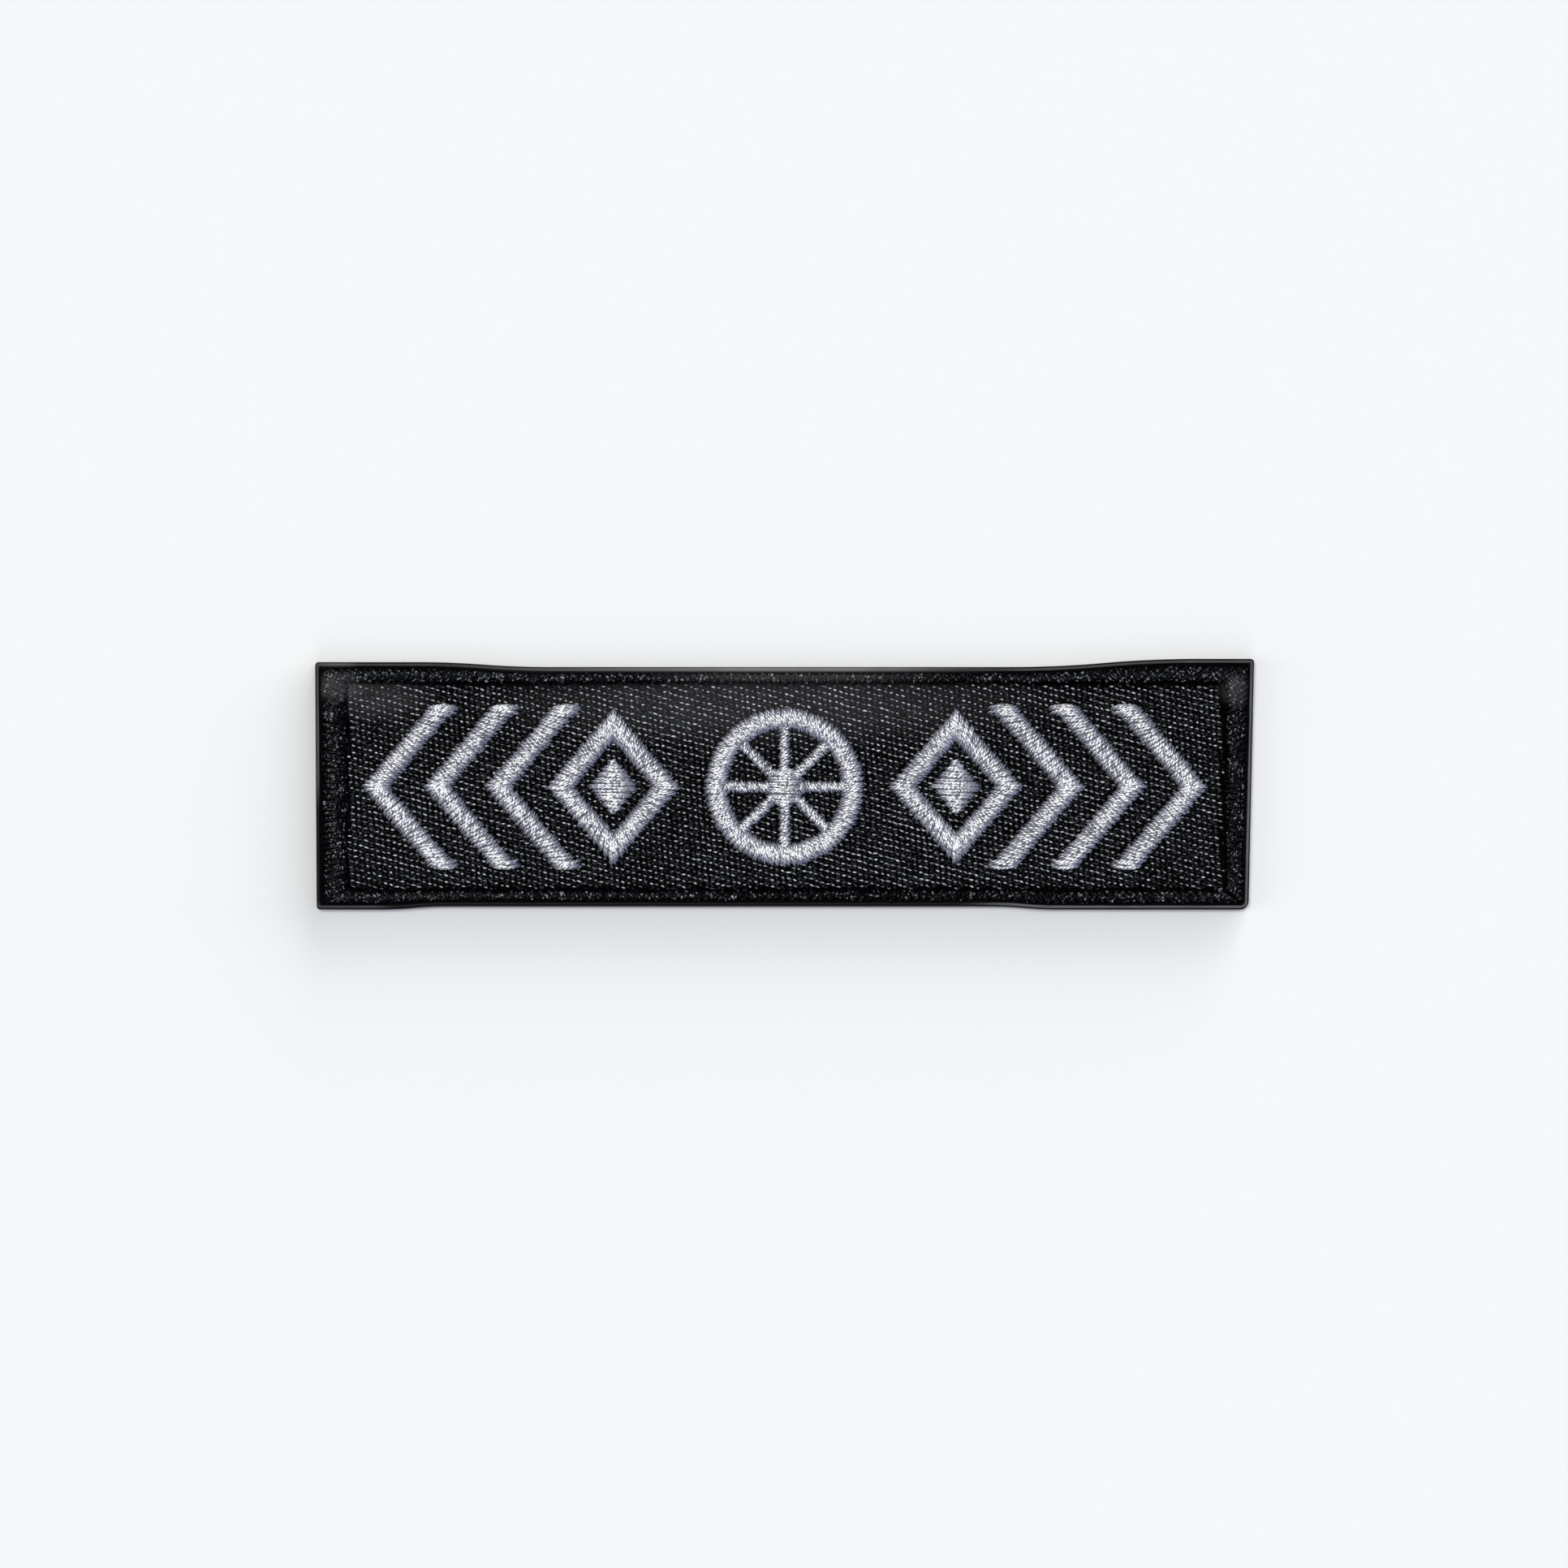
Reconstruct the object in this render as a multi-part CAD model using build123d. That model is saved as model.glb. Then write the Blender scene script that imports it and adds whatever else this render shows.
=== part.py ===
from build123d import *

import os
from collections import namedtuple
from math import atan2, cos, hypot

# A rectangular embroidered patch that lies face up: black twill cloth with a heat-sealed rim,
# a stitched border, and a row of raised satin-stitched figures. X runs along the patch,
# Y up its face, and Z out of it. The origin is the middle of the flat back.
# All lengths are in millimetres.

# The patch and its cloth
patch_length = 100.0
patch_height = 26.7
edge_flare = 0.87  # the most that a corner stands out past the middle of its long edge
side_lean = 0.6  # the most that the foot of a short edge stands in from its top
corner_radius = 0.9  # of the bluntest corner
cloth_thickness = 1.2
rim_width = 0.65  # bare sealed cloth outside the border
rim_top_round = 0.26
rim_foot_round = 0.2
channel_width = 0.45  # where the border's stitches pull the cloth down
channel_depth = 0.3
field_round = 0.2

# The stitched border
border_width_long = 1.0  # at the middle of the two long edges
border_width_short = 2.4
border_height = 0.55
border_round = 0.42
window_corner_radius = 0.35

# The stitched figures
ornament_margin = 2.7  # from the border to the figures, above and below
end_margin = 1.9  # from the border to the outermost chevron
stitch_height = 0.8
stitch_round = 0.7
seat_gap = 0.05  # under everything that is stitched on
stroke_width = 2.3
figure_gap = 2.6  # between the wheel and a lozenge
spoke_count = 8
spoke_width = 1.15
hub_radius = 2.1
lozenge_width = 14.4
core_gap = 1.1
chevron_count = 3  # on each side

# How each corner departs from a plain rectangle. flare, lean and rounding are shares of
# edge_flare, side_lean and corner_radius. level and slope are shares of patch_length: the long
# edge runs level from the corner, then slopes to the height that it keeps along its middle.
Corner = namedtuple("Corner", "side_x side_y flare lean rounding level slope")
top_left = Corner(-1, 1, flare=0.6, lean=0.0, rounding=0.4, level=0.11, slope=0.14)
top_right = Corner(1, 1, flare=1.0, lean=0.0, rounding=0.4, level=0.06, slope=0.2)
bottom_right = Corner(1, -1, flare=0.37, lean=1.0, rounding=1.0, level=0.21, slope=0.07)
bottom_left = Corner(-1, -1, flare=0.37, lean=0.28, rounding=0.4, level=0.07, slope=0.07)
corners = (top_left, top_right, bottom_right, bottom_left)

# Heights of the long edges' middles. The corner that flares most reaches the full height.
top_middle = patch_height / 2 - max(top_left.flare, top_right.flare) * edge_flare
bottom_middle = -patch_height / 2 + max(bottom_left.flare, bottom_right.flare) * edge_flare

# The window inside the border
window_top = top_middle - rim_width - border_width_long
window_bottom = bottom_middle + rim_width + border_width_long
window_length = patch_length - 2 * (rim_width + border_width_short)
window_height = window_top - window_bottom
window_middle = (window_top + window_bottom) / 2

# The row of figures
seat = cloth_thickness + seat_gap
figure_half_height = window_height / 2 - ornament_margin
lozenge_half_width = lozenge_width / 2
lozenge_centre = figure_half_height + figure_gap + lozenge_half_width
slant = atan2(lozenge_half_width, figure_half_height)  # of a side, from upright
stroke_across = stroke_width / cos(slant)  # a slanting stroke, measured along X
chevron_start = lozenge_centre + lozenge_half_width
chevron_step = (window_length / 2 - end_margin - chevron_start) / chevron_count


def corner_point(corner, inset):
    """The corner of the outline, taken in by inset from both of its edges."""
    middle = top_middle if corner.side_y > 0 else bottom_middle
    x = corner.side_x * (patch_length / 2 - corner.lean * side_lean - inset)
    y = middle + corner.side_y * (corner.flare * edge_flare - inset)
    return x, y


def flared_end(corner, inset):
    """The long edge's end at a corner: a level stretch, then two arcs down to the middle."""
    x, y = corner_point(corner, inset)
    middle_y = y - corner.side_y * corner.flare * edge_flare
    slope_start = (corner.side_x * (0.5 - corner.level) * patch_length, y)
    slope_end = (slope_start[0] - corner.side_x * corner.slope * patch_length, middle_y)
    halfway = ((slope_start[0] + slope_end[0]) / 2, (y + middle_y) / 2)
    edges = [
        Line((x, y), slope_start),
        TangentArc(slope_start, halfway, tangent=(-corner.side_x, 0)),
        TangentArc(slope_end, halfway, tangent=(corner.side_x, 0)),
    ]
    return edges, slope_end


def outline(inset=0.0):
    """The face of the patch's outline, taken in by inset all round."""
    edges = []
    ends = {}
    for corner in corners:
        end_edges, ends[corner] = flared_end(corner, inset)
        edges += end_edges
    edges.append(Line(ends[top_left], ends[top_right]))
    edges.append(Line(ends[bottom_left], ends[bottom_right]))
    for top, bottom in ((top_left, bottom_left), (top_right, bottom_right)):
        edges.append(Line(corner_point(top, inset), corner_point(bottom, inset)))
    return make_face(edges)


def window(inset=0.0):
    """The face inside the border, taken in by inset all round."""
    face = RectangleRounded(
        window_length - 2 * inset, window_height - 2 * inset, window_corner_radius
    )
    return Pos(0, window_middle) * face


def domed(face, height, roundness):
    """A flat-footed pad of stitches on the cloth, with its upper edges rounded."""
    pad = Pos(0, 0, seat) * extrude(face, height)
    return fillet(pad.edges().group_by(Axis.Z)[-1], min(roundness, 0.9 * height))


def ground_cloth():
    """The twill with its rounded sealed rim, and the channel inside the border's stitches."""
    face = outline()
    for corner in corners:
        vertex = face.vertices().sort_by_distance(corner_point(corner, 0))[0]
        face = fillet(vertex, corner.rounding * corner_radius)
    sharpest = min(corner.rounding for corner in corners) * corner_radius
    plate = extrude(face, cloth_thickness)
    plate = fillet(plate.edges().group_by(Axis.Z)[-1], min(rim_top_round, 0.8 * sharpest))
    plate = fillet(plate.edges().group_by(Axis.Z)[0], min(rim_foot_round, 0.8 * sharpest))
    field_edge = window() - window(channel_width)
    channel = Pos(0, 0, cloth_thickness - channel_depth) * extrude(field_edge, channel_depth)
    plate -= channel
    top_edges = plate.edges().group_by(Axis.Z)[-1]
    field_edges = top_edges.filter_by(
        lambda edge: abs(edge.center().X) < window_length / 2 - channel_width / 2
        and abs(edge.center().Y - window_middle) < window_height / 2 - channel_width / 2
    )
    return fillet(field_edges, min(field_round, 0.9 * channel_depth))


def border_stitching():
    """The raised band between the sealed rim and the window."""
    return domed(outline(rim_width) - window(), border_height, border_round)


def lozenge_face(inset=0.0):
    """An upright rhombus, centred, with each side taken in by inset."""
    side = hypot(lozenge_half_width, figure_half_height)
    side_distance = lozenge_half_width * figure_half_height / side
    share = (side_distance - inset) / side_distance
    x, y = share * lozenge_half_width, share * figure_half_height
    return make_face(Polyline((x, 0), (0, y), (-x, 0), (0, -y), close=True))


def wheel():
    """The spoked wheel at the middle of the row."""
    rim_inside = figure_half_height - stroke_width
    face = Circle(figure_half_height) - Circle(rim_inside)
    face += Circle(hub_radius)
    # Each spoke runs to the middle of the rim's band, so that the two join.
    reach = rim_inside + stroke_width / 2
    for spoke in PolarLocations(0, spoke_count):
        face += spoke * Pos(reach / 2, 0) * Rectangle(reach, spoke_width)
    return domed(Pos(0, window_middle) * face, stitch_height, min(stitch_round, 0.4 * spoke_width))


def lozenge(side_x):
    """The outlined lozenge on one side of the wheel."""
    band = lozenge_face() - lozenge_face(stroke_width)
    place = Pos(side_x * lozenge_centre, window_middle)
    return domed(place * band, stitch_height, min(stitch_round, 0.45 * stroke_width))


def lozenge_core(side_x):
    """The small solid lozenge inside the outlined one."""
    place = Pos(side_x * lozenge_centre, window_middle)
    return domed(place * lozenge_face(stroke_width + core_gap), stitch_height, stitch_round)


def chevron(side_x, number):
    """A chevron that points away from the wheel. Number 1 is the nearest to the lozenge."""
    tip = chevron_start + number * chevron_step
    inner_tip = tip - stroke_across
    y = figure_half_height
    points = [
        (tip, 0),
        (tip - lozenge_half_width, y),
        (inner_tip - lozenge_half_width, y),
        (inner_tip, 0),
        (inner_tip - lozenge_half_width, -y),
        (tip - lozenge_half_width, -y),
    ]
    face = make_face(Polyline(*[(side_x * x, y) for x, y in points], close=True))
    return domed(
        Pos(0, window_middle) * face, stitch_height, min(stitch_round, 0.45 * stroke_width)
    )


def pieces():
    """Each piece of the patch, by its node's name."""
    made = {
        "ground_cloth": ground_cloth(),
        "border_stitching": border_stitching(),
        "wheel": wheel(),
    }
    for side, side_x in (("left", -1), ("right", 1)):
        made[f"lozenge_{side}"] = lozenge(side_x)
        made[f"lozenge_core_{side}"] = lozenge_core(side_x)
        for number in range(1, chevron_count + 1):
            made[f"chevron_{side}_{number}"] = chevron(side_x, number)
    return made


os.makedirs("parts", exist_ok=True)
for name, shape in pieces().items():
    export_step(shape, f"parts/{name}.step")
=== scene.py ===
import logging
from abc import ABC, abstractmethod
from collections.abc import Callable, Sequence
from dataclasses import dataclass, field
from enum import Enum
from math import cos, hypot, pi, radians, sin, sqrt
from typing import Any

import bmesh
import bpy
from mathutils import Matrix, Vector, noise


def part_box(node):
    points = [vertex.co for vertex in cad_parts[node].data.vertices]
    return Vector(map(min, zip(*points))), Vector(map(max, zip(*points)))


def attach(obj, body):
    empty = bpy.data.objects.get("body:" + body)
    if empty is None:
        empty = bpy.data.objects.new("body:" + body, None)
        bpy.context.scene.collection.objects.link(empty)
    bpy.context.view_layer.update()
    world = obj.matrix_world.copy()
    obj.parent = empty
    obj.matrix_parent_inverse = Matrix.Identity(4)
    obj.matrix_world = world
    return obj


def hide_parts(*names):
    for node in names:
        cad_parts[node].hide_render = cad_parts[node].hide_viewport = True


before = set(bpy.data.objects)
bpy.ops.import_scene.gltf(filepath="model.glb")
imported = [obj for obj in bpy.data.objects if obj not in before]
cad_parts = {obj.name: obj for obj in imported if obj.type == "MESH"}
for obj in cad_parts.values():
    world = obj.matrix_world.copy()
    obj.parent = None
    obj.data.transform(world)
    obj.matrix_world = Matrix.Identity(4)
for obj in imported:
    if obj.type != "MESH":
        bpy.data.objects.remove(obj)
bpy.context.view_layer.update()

log = logging.getLogger("patch")

MM = 0.001
BODY = "root"
DOME_POWER = 2.2  # how square the section of a satin column is
WHITE = (1.0, 1.0, 1.0)
Colour = tuple[float, float, float]
Finishes = dict[str, bpy.types.Material]
Pair = tuple[Vector, Vector]
Point = tuple[float, float]
Section = tuple[Vector, Vector, float]


class Side(Enum):
    """The two halves of the patch. The value is the side's direction along X."""

    LEFT = -1
    RIGHT = 1


class Slot(Enum):
    """The record's material slots."""

    TWILL = "black_twill"
    BLACK = "black_thread"
    SILVER = "silver_thread"


def operator(operation: str, reflected: bool = False) -> Callable[..., "Wire"]:
    """A method of Wire that adds one Math node.

    Args:
        operation: the node's operation.
        reflected: whether the wire is the second operand.

    Returns:
        The method.
    """

    def method(self: "Wire", *others: Any) -> "Wire":
        """Adds the node."""
        return self.maths(operation, *((*others, self) if reflected else (self, *others)))

    return method


class Wire:
    """One output socket of a node tree, on which Python expressions add Math nodes."""

    def __init__(self, graph: "Graph", socket: bpy.types.NodeSocket) -> None:
        """Holds the socket and the graph that it belongs to."""
        self.graph = graph
        self.socket = socket

    def __getitem__(self, name: str) -> "Wire":
        """Another output of the same node, by its name."""
        return Wire(self.graph, self.graph.find(self.socket.node.outputs, name))

    def maths(self, operation: str, *operands: Any) -> "Wire":
        """Adds the Math node of an operation, or its Vector Math node if an operand is a vector.

        Args:
            operation: the node's operation.
            *operands: wires or numbers.

        Returns:
            The node's result.
        """
        vectors = [isinstance(each, Wire) and each.socket.type == "VECTOR" for each in operands]
        kind = "ShaderNodeVectorMath" if any(vectors) else "ShaderNodeMath"
        inputs: dict[int | str, Any] = dict(enumerate(operands))
        if operation == "MULTIPLY" and any(vectors) and not all(vectors):
            vector, number = operands if vectors[0] else operands[::-1]
            operation, inputs = "SCALE", {0: vector, "Scale": number}
        return self.graph.node(kind, inputs, operation=operation)

    __add__ = operator("ADD")
    __radd__ = operator("ADD", reflected=True)
    __sub__ = operator("SUBTRACT")
    __rsub__ = operator("SUBTRACT", reflected=True)
    __mul__ = operator("MULTIPLY")
    __rmul__ = operator("MULTIPLY", reflected=True)
    __truediv__ = operator("DIVIDE")
    __rtruediv__ = operator("DIVIDE", reflected=True)
    __mod__ = operator("MODULO")
    __pow__ = operator("POWER")
    __abs__ = operator("ABSOLUTE")
    __gt__ = operator("GREATER_THAN")
    floor = operator("FLOOR")
    sine = operator("SINE")
    cosine = operator("COSINE")
    sign = operator("SIGN")
    cross = operator("CROSS_PRODUCT")

    def length(self) -> "Wire":
        """Length of a vector."""
        return self.maths("LENGTH", self)["Value"]


class Graph:
    """A node tree that is written as calls and expressions."""

    def __init__(self, tree: bpy.types.NodeTree) -> None:
        """Holds the tree."""
        self.tree = tree

    @staticmethod
    def find(sockets: Any, key: int | str) -> bpy.types.NodeSocket:
        """Finds a socket.

        Args:
            sockets: a node's inputs or outputs.
            key: the socket's number or its name.

        Returns:
            The socket, which for a name is the first one in use that has it.
        """
        if isinstance(key, int):
            return sockets[key]
        return next(socket for socket in sockets if socket.name == key and socket.enabled)

    def node(self, kind: str, inputs: dict[Any, Any] | None = None, **settings: Any) -> Wire:
        """Adds a node.

        Args:
            kind: the node's type.
            inputs: a value or a wire for each socket, by number or name.
            **settings: the node's own properties, which are set before its sockets.

        Returns:
            The node's first output in use.
        """
        node = self.tree.nodes.new(kind)
        for name, value in settings.items():
            setattr(node, name, value)
        for key, value in (inputs or {}).items():
            self.feed(self.find(node.inputs, key), value)
        return Wire(self, next(socket for socket in node.outputs if socket.enabled))

    def feed(self, socket: bpy.types.NodeSocket, value: Any) -> None:
        """Sets a socket.

        Args:
            socket: the input socket.
            value: a wire that is linked to it, or the socket's own value.
        """
        if isinstance(value, Wire):
            self.tree.links.new(value.socket, socket)
        else:
            socket.default_value = value

    def vector(self, x: Any = 0.0, y: Any = 0.0, z: Any = 0.0) -> Wire:
        """A vector from its three parts."""
        return self.node("ShaderNodeCombineXYZ", {"X": x, "Y": y, "Z": z})

    def parts(self, vector: Wire) -> tuple[Wire, Wire, Wire]:
        """The three parts of a vector."""
        split = self.node("ShaderNodeSeparateXYZ", {0: vector})
        return split["X"], split["Y"], split["Z"]


class GeometryTree(Graph):
    """A Geometry Nodes tree with named inputs, which grows a mesh from a host object."""

    def __init__(self, name: str, **sockets: Sequence[str]) -> None:
        """Makes the tree and its interface.

        Args:
            name: the tree's name.
            **sockets: the inputs' names, by their kind. The host's own geometry comes first.
        """
        super().__init__(bpy.data.node_groups.new(name, "GeometryNodeTree"))
        self.tree.is_modifier = True
        interface = self.tree.interface
        for kind, labels in sockets.items():
            for label in labels:
                interface.new_socket(label, in_out="INPUT", socket_type=f"NodeSocket{kind}")
        interface.new_socket("Mesh", in_out="OUTPUT", socket_type="NodeSocketGeometry")
        self.entry = self.tree.nodes.new("NodeGroupInput")

    def input(self, name: str) -> Wire:
        """One of the tree's named inputs."""
        return Wire(self, self.find(self.entry.outputs, name))

    def finish(self, geometry: Wire) -> None:
        """Ends the tree: real geometry, smooth, with the material of the tree's input.

        Args:
            geometry: what the tree makes.
        """
        geometry = self.node("GeometryNodeRealizeInstances", {"Geometry": geometry})
        geometry = self.node("GeometryNodeSetShadeSmooth", {"Geometry": geometry})
        inputs = {"Geometry": geometry, "Material": self.input("Material")}
        output = self.tree.nodes.new("NodeGroupOutput")
        self.feed(output.inputs["Mesh"], self.node("GeometryNodeSetMaterial", inputs))

    def random(self, low: float, high: float, key: Wire, stream: int) -> Wire:
        """A random number for each key.

        Args:
            low: the least.
            high: the most.
            key: what has one number each, such as a strand's number.
            stream: tells this draw from the tree's other ones.

        Returns:
            The number.
        """
        seed = self.input("Seed") + float(stream)
        inputs = {"Min": low, "Max": high, "ID": key, "Seed": seed}
        return self.node("FunctionNodeRandomValue", inputs, data_type="FLOAT")

    def wander(self, place: Wire, scale: float, reach: Wire) -> Wire:
        """A smooth random shift.

        Args:
            place: where its noise is read.
            scale: the noise's cells per unit of the place.
            reach: twice the most that it can be each way.

        Returns:
            The shift, as a vector.
        """
        inputs = {"Vector": place, "Scale": scale, "Detail": 1.0}
        cloud = self.node("ShaderNodeTexNoise", inputs)["Color"]
        return (cloud - self.vector(0.5, 0.5, 0.5)) * reach

    def store(self, geometry: Wire, name: str, value: Wire, domain: str = "POINT") -> Wire:
        """Stores a number on the geometry, for its material to read.

        Args:
            geometry: the geometry.
            name: the number's name.
            value: the number.
            domain: what has one number each.

        Returns:
            The geometry with the number.
        """
        inputs = {"Geometry": geometry, "Name": name, "Value": value}
        kind = "GeometryNodeStoreNamedAttribute"
        return self.node(kind, inputs, data_type="FLOAT", domain=domain)

    def grow(self, host: bpy.types.Mesh, values: dict[str, Any]) -> bpy.types.Mesh:
        """Runs the tree on a mesh.

        Args:
            host: the mesh that the tree starts from.
            values: the tree's inputs, by name. Those of other names are passed over.

        Returns:
            The result as a plain mesh.
        """
        carrier = bpy.data.objects.new(f"{self.tree.name}_host", host)
        bpy.context.scene.collection.objects.link(carrier)
        modifier = carrier.modifiers.new(self.tree.name, "NODES")
        modifier.node_group = self.tree
        for item in self.tree.interface.items_tree:
            if item.in_out == "INPUT" and item.name in values:
                modifier[item.identifier] = values[item.name]
        depsgraph = bpy.context.evaluated_depsgraph_get()
        made = bpy.data.meshes.new_from_object(
            carrier.evaluated_get(depsgraph), preserve_all_data_layers=True, depsgraph=depsgraph
        )
        bpy.data.objects.remove(carrier)
        bpy.data.meshes.remove(host)
        return made


def tree_inputs(sizes: Any) -> dict[str, Any]:
    """A dataclass's fields as a tree's inputs, which have the same names in title case."""
    return {name.replace("_", " ").title(): value for name, value in vars(sizes).items()}


class SatinTree(GeometryTree):
    """Lays twisted threads side by side between two rails, as a satin stitch does."""

    PLIES = 2
    END_STRAY = 0.28  # of a thread's ends along the rails, in threads
    SWELL = (0.88, 1.06)  # of the threads' heights
    WINDING = (0.8, 1.3)  # of the threads' twists
    TWIST_RISE = 0.85  # how high a twist is, as a share of its width
    SHADE = 0.65  # how much less the second ply's crest shines in the painted highlight
    END_SCALE = 0.75  # how thick a ply's ends are, as a share of its middle
    WAVER_STEP = 0.3  # how far apart two threads read the noise that they waver by

    def __init__(self, name: str, points: int, profile_sides: int) -> None:
        """Builds the tree.

        Args:
            name: the tree's name.
            points: how many points each ply has along it.
            profile_sides: how many sides its section has.
        """
        self.points = points
        self.profile_sides = profile_sides
        super().__init__(
            name,
            Geometry=("Rails",),
            Int=("Strands", "Seed"),
            Float=(
                *("Crown", "Foot", "Ply Radius", "Ply Spread", "Twist"),
                *("Zigzag", "Scatter", "Waver", "Waver Length"),
            ),
            Vector=("Bow",),
            Material=("Material",),
        )
        index = self.node("GeometryNodeInputIndex")
        ply_number = (index / points).floor()
        share = (index - ply_number * points) / (points - 1)
        self.strand = (ply_number / self.PLIES).floor()
        self.ply = ply_number - self.strand * self.PLIES
        # Points crowd towards the ends, where a thread turns down into the cloth.
        self.across = 0.5 - 0.5 * (share * pi).cosine()
        rails = {0: self.input("Rails")}
        self.rail_points = self.node("GeometryNodeAttributeDomainSize", rails, component="MESH") / 2
        left, right = self._ends()
        span = right - left
        self.width = span.length()
        self.rise = (1 - abs(2 * self.across - 1) ** DOME_POWER) ** 0.5
        self.finish(self._thick(self._twisted(self._laid(left, span))))

    def _rail(self, share: Wire, first: Wire | int) -> Wire:
        """A point on a rail.

        Args:
            share: how far along the rail it is, as a share of the rail's length.
            first: the number of the rail's first point.

        Returns:
            The point.
        """
        place = share * (self.rail_points - 1)
        below = place.floor()
        inputs = {"Geometry": self.input("Rails"), "Value": self.node("GeometryNodeInputPosition")}
        settings = {"data_type": "FLOAT_VECTOR", "domain": "POINT"}
        start, end = (
            self.node("GeometryNodeSampleIndex", inputs | {"Index": number}, **settings)
            for number in (below + first, below + first + 1)
        )
        return start + (end - start) * (place - below)

    def _ends(self) -> tuple[Wire, Wire]:
        """Where each strand enters the cloth.

        Returns:
            The points on the left rail and on the right.
        """
        strands = self.input("Strands")
        lean = (1 - 2 * (self.strand % 2)) * self.input("Zigzag")
        shares = []
        for stream, direction in ((1, 1), (2, -1)):
            stray = self.random(-self.END_STRAY, self.END_STRAY, self.strand, stream)
            shares.append((self.strand + 0.5 + lean * direction + stray) / strands)
        return self._rail(shares[0], 0), self._rail(shares[1], self.rail_points)

    def _laid(self, left: Wire, span: Wire) -> Wire:
        """Lines for the plies, set over the column as a low dome.

        Args:
            left: where each strand enters the cloth on the left.
            span: the way from there to its other end.

        Returns:
            The lines.
        """
        line = {"Curve": self.node("GeometryNodeCurvePrimitiveLine"), "Count": self.points}
        line = self.node("GeometryNodeResampleCurve", line, mode="COUNT")
        starts = self.node("GeometryNodeMeshLine", {"Count": self.input("Strands") * self.PLIES})
        lines = self.node("GeometryNodeInstanceOnPoints", {"Points": starts, "Instance": line})
        lines = self.node("GeometryNodeRealizeInstances", {"Geometry": lines})
        scatter = self.input("Scatter") / self.width
        left_stray = self.random(-1, 1, self.strand, 3) * scatter
        right_stray = self.random(-1, 1, self.strand, 4) * scatter
        place = self.across * (1 + left_stray + right_stray) - left_stray
        foot = self.input("Foot")
        swell = self.random(*self.SWELL, self.strand, 5)
        height = (self.input("Crown") * swell + foot) * self.rise - foot
        straight = left + span * place
        own = self.vector(z=self.strand * self.WAVER_STEP)
        waver = straight * (1 / self.input("Waver Length")) + own
        waver = self.wander(waver, 1.0, 2 * self.input("Waver"))
        bow = self.input("Bow") * (4 * self.across * (1 - self.across))
        position = straight + self.vector(z=height) + waver + bow
        lines = self.node("GeometryNodeSetPosition", {"Geometry": lines, "Position": position})
        return self.node("GeometryNodeSetCurveNormal", {"Curve": lines}, mode="Z_UP")

    def _twisted(self, threads: Wire) -> Wire:
        """The plies of each thread, wound round its line.

        Args:
            threads: the plies' lines.

        Returns:
            The wound lines.
        """
        sideways = self.node("GeometryNodeInputNormal")
        upwards = sideways.cross(self.node("GeometryNodeInputTangent"))
        start = self.random(0, 2 * pi, self.strand, 6)
        twist = self.input("Twist") * self.random(*self.WINDING, self.strand, 8)
        angle = 2 * pi * (self.across * self.width / twist) + pi * self.ply + start
        # How high the ply stands on its turn, which the finish paints as highlight.
        self.crest = (0.5 + 0.5 * angle.sine()) * (1 - self.SHADE * self.ply)
        spread = self.input("Ply Spread")
        rise = angle.sine() * spread * self.TWIST_RISE
        offset = sideways * (angle.cosine() * spread) + upwards * rise
        return self.node("GeometryNodeSetPosition", {"Geometry": threads, "Offset": offset})

    def _thick(self, threads: Wire) -> Wire:
        """The plies with their thickness, and the numbers that their finish reads.

        Args:
            threads: the wound lines.

        Returns:
            The plies' mesh.
        """
        numbers = {
            "tone": self.random(0, 1, self.strand, 7),
            "crown": 1 - abs(2 * self.across - 1),
            "crest": self.crest,
            "along": self.across * self.width,
        }
        for name, value in numbers.items():
            threads = self.store(threads, name, value)
        profile = {"Resolution": self.profile_sides, "Radius": self.input("Ply Radius")}
        profile = self.node("GeometryNodeCurvePrimitiveCircle", profile, mode="RADIUS")
        scale = self.END_SCALE + (1 - self.END_SCALE) * self.rise
        inputs = {"Curve": threads, "Profile Curve": profile, "Scale": scale, "Fill Caps": True}
        return self.node("GeometryNodeCurveToMesh", inputs)


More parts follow.
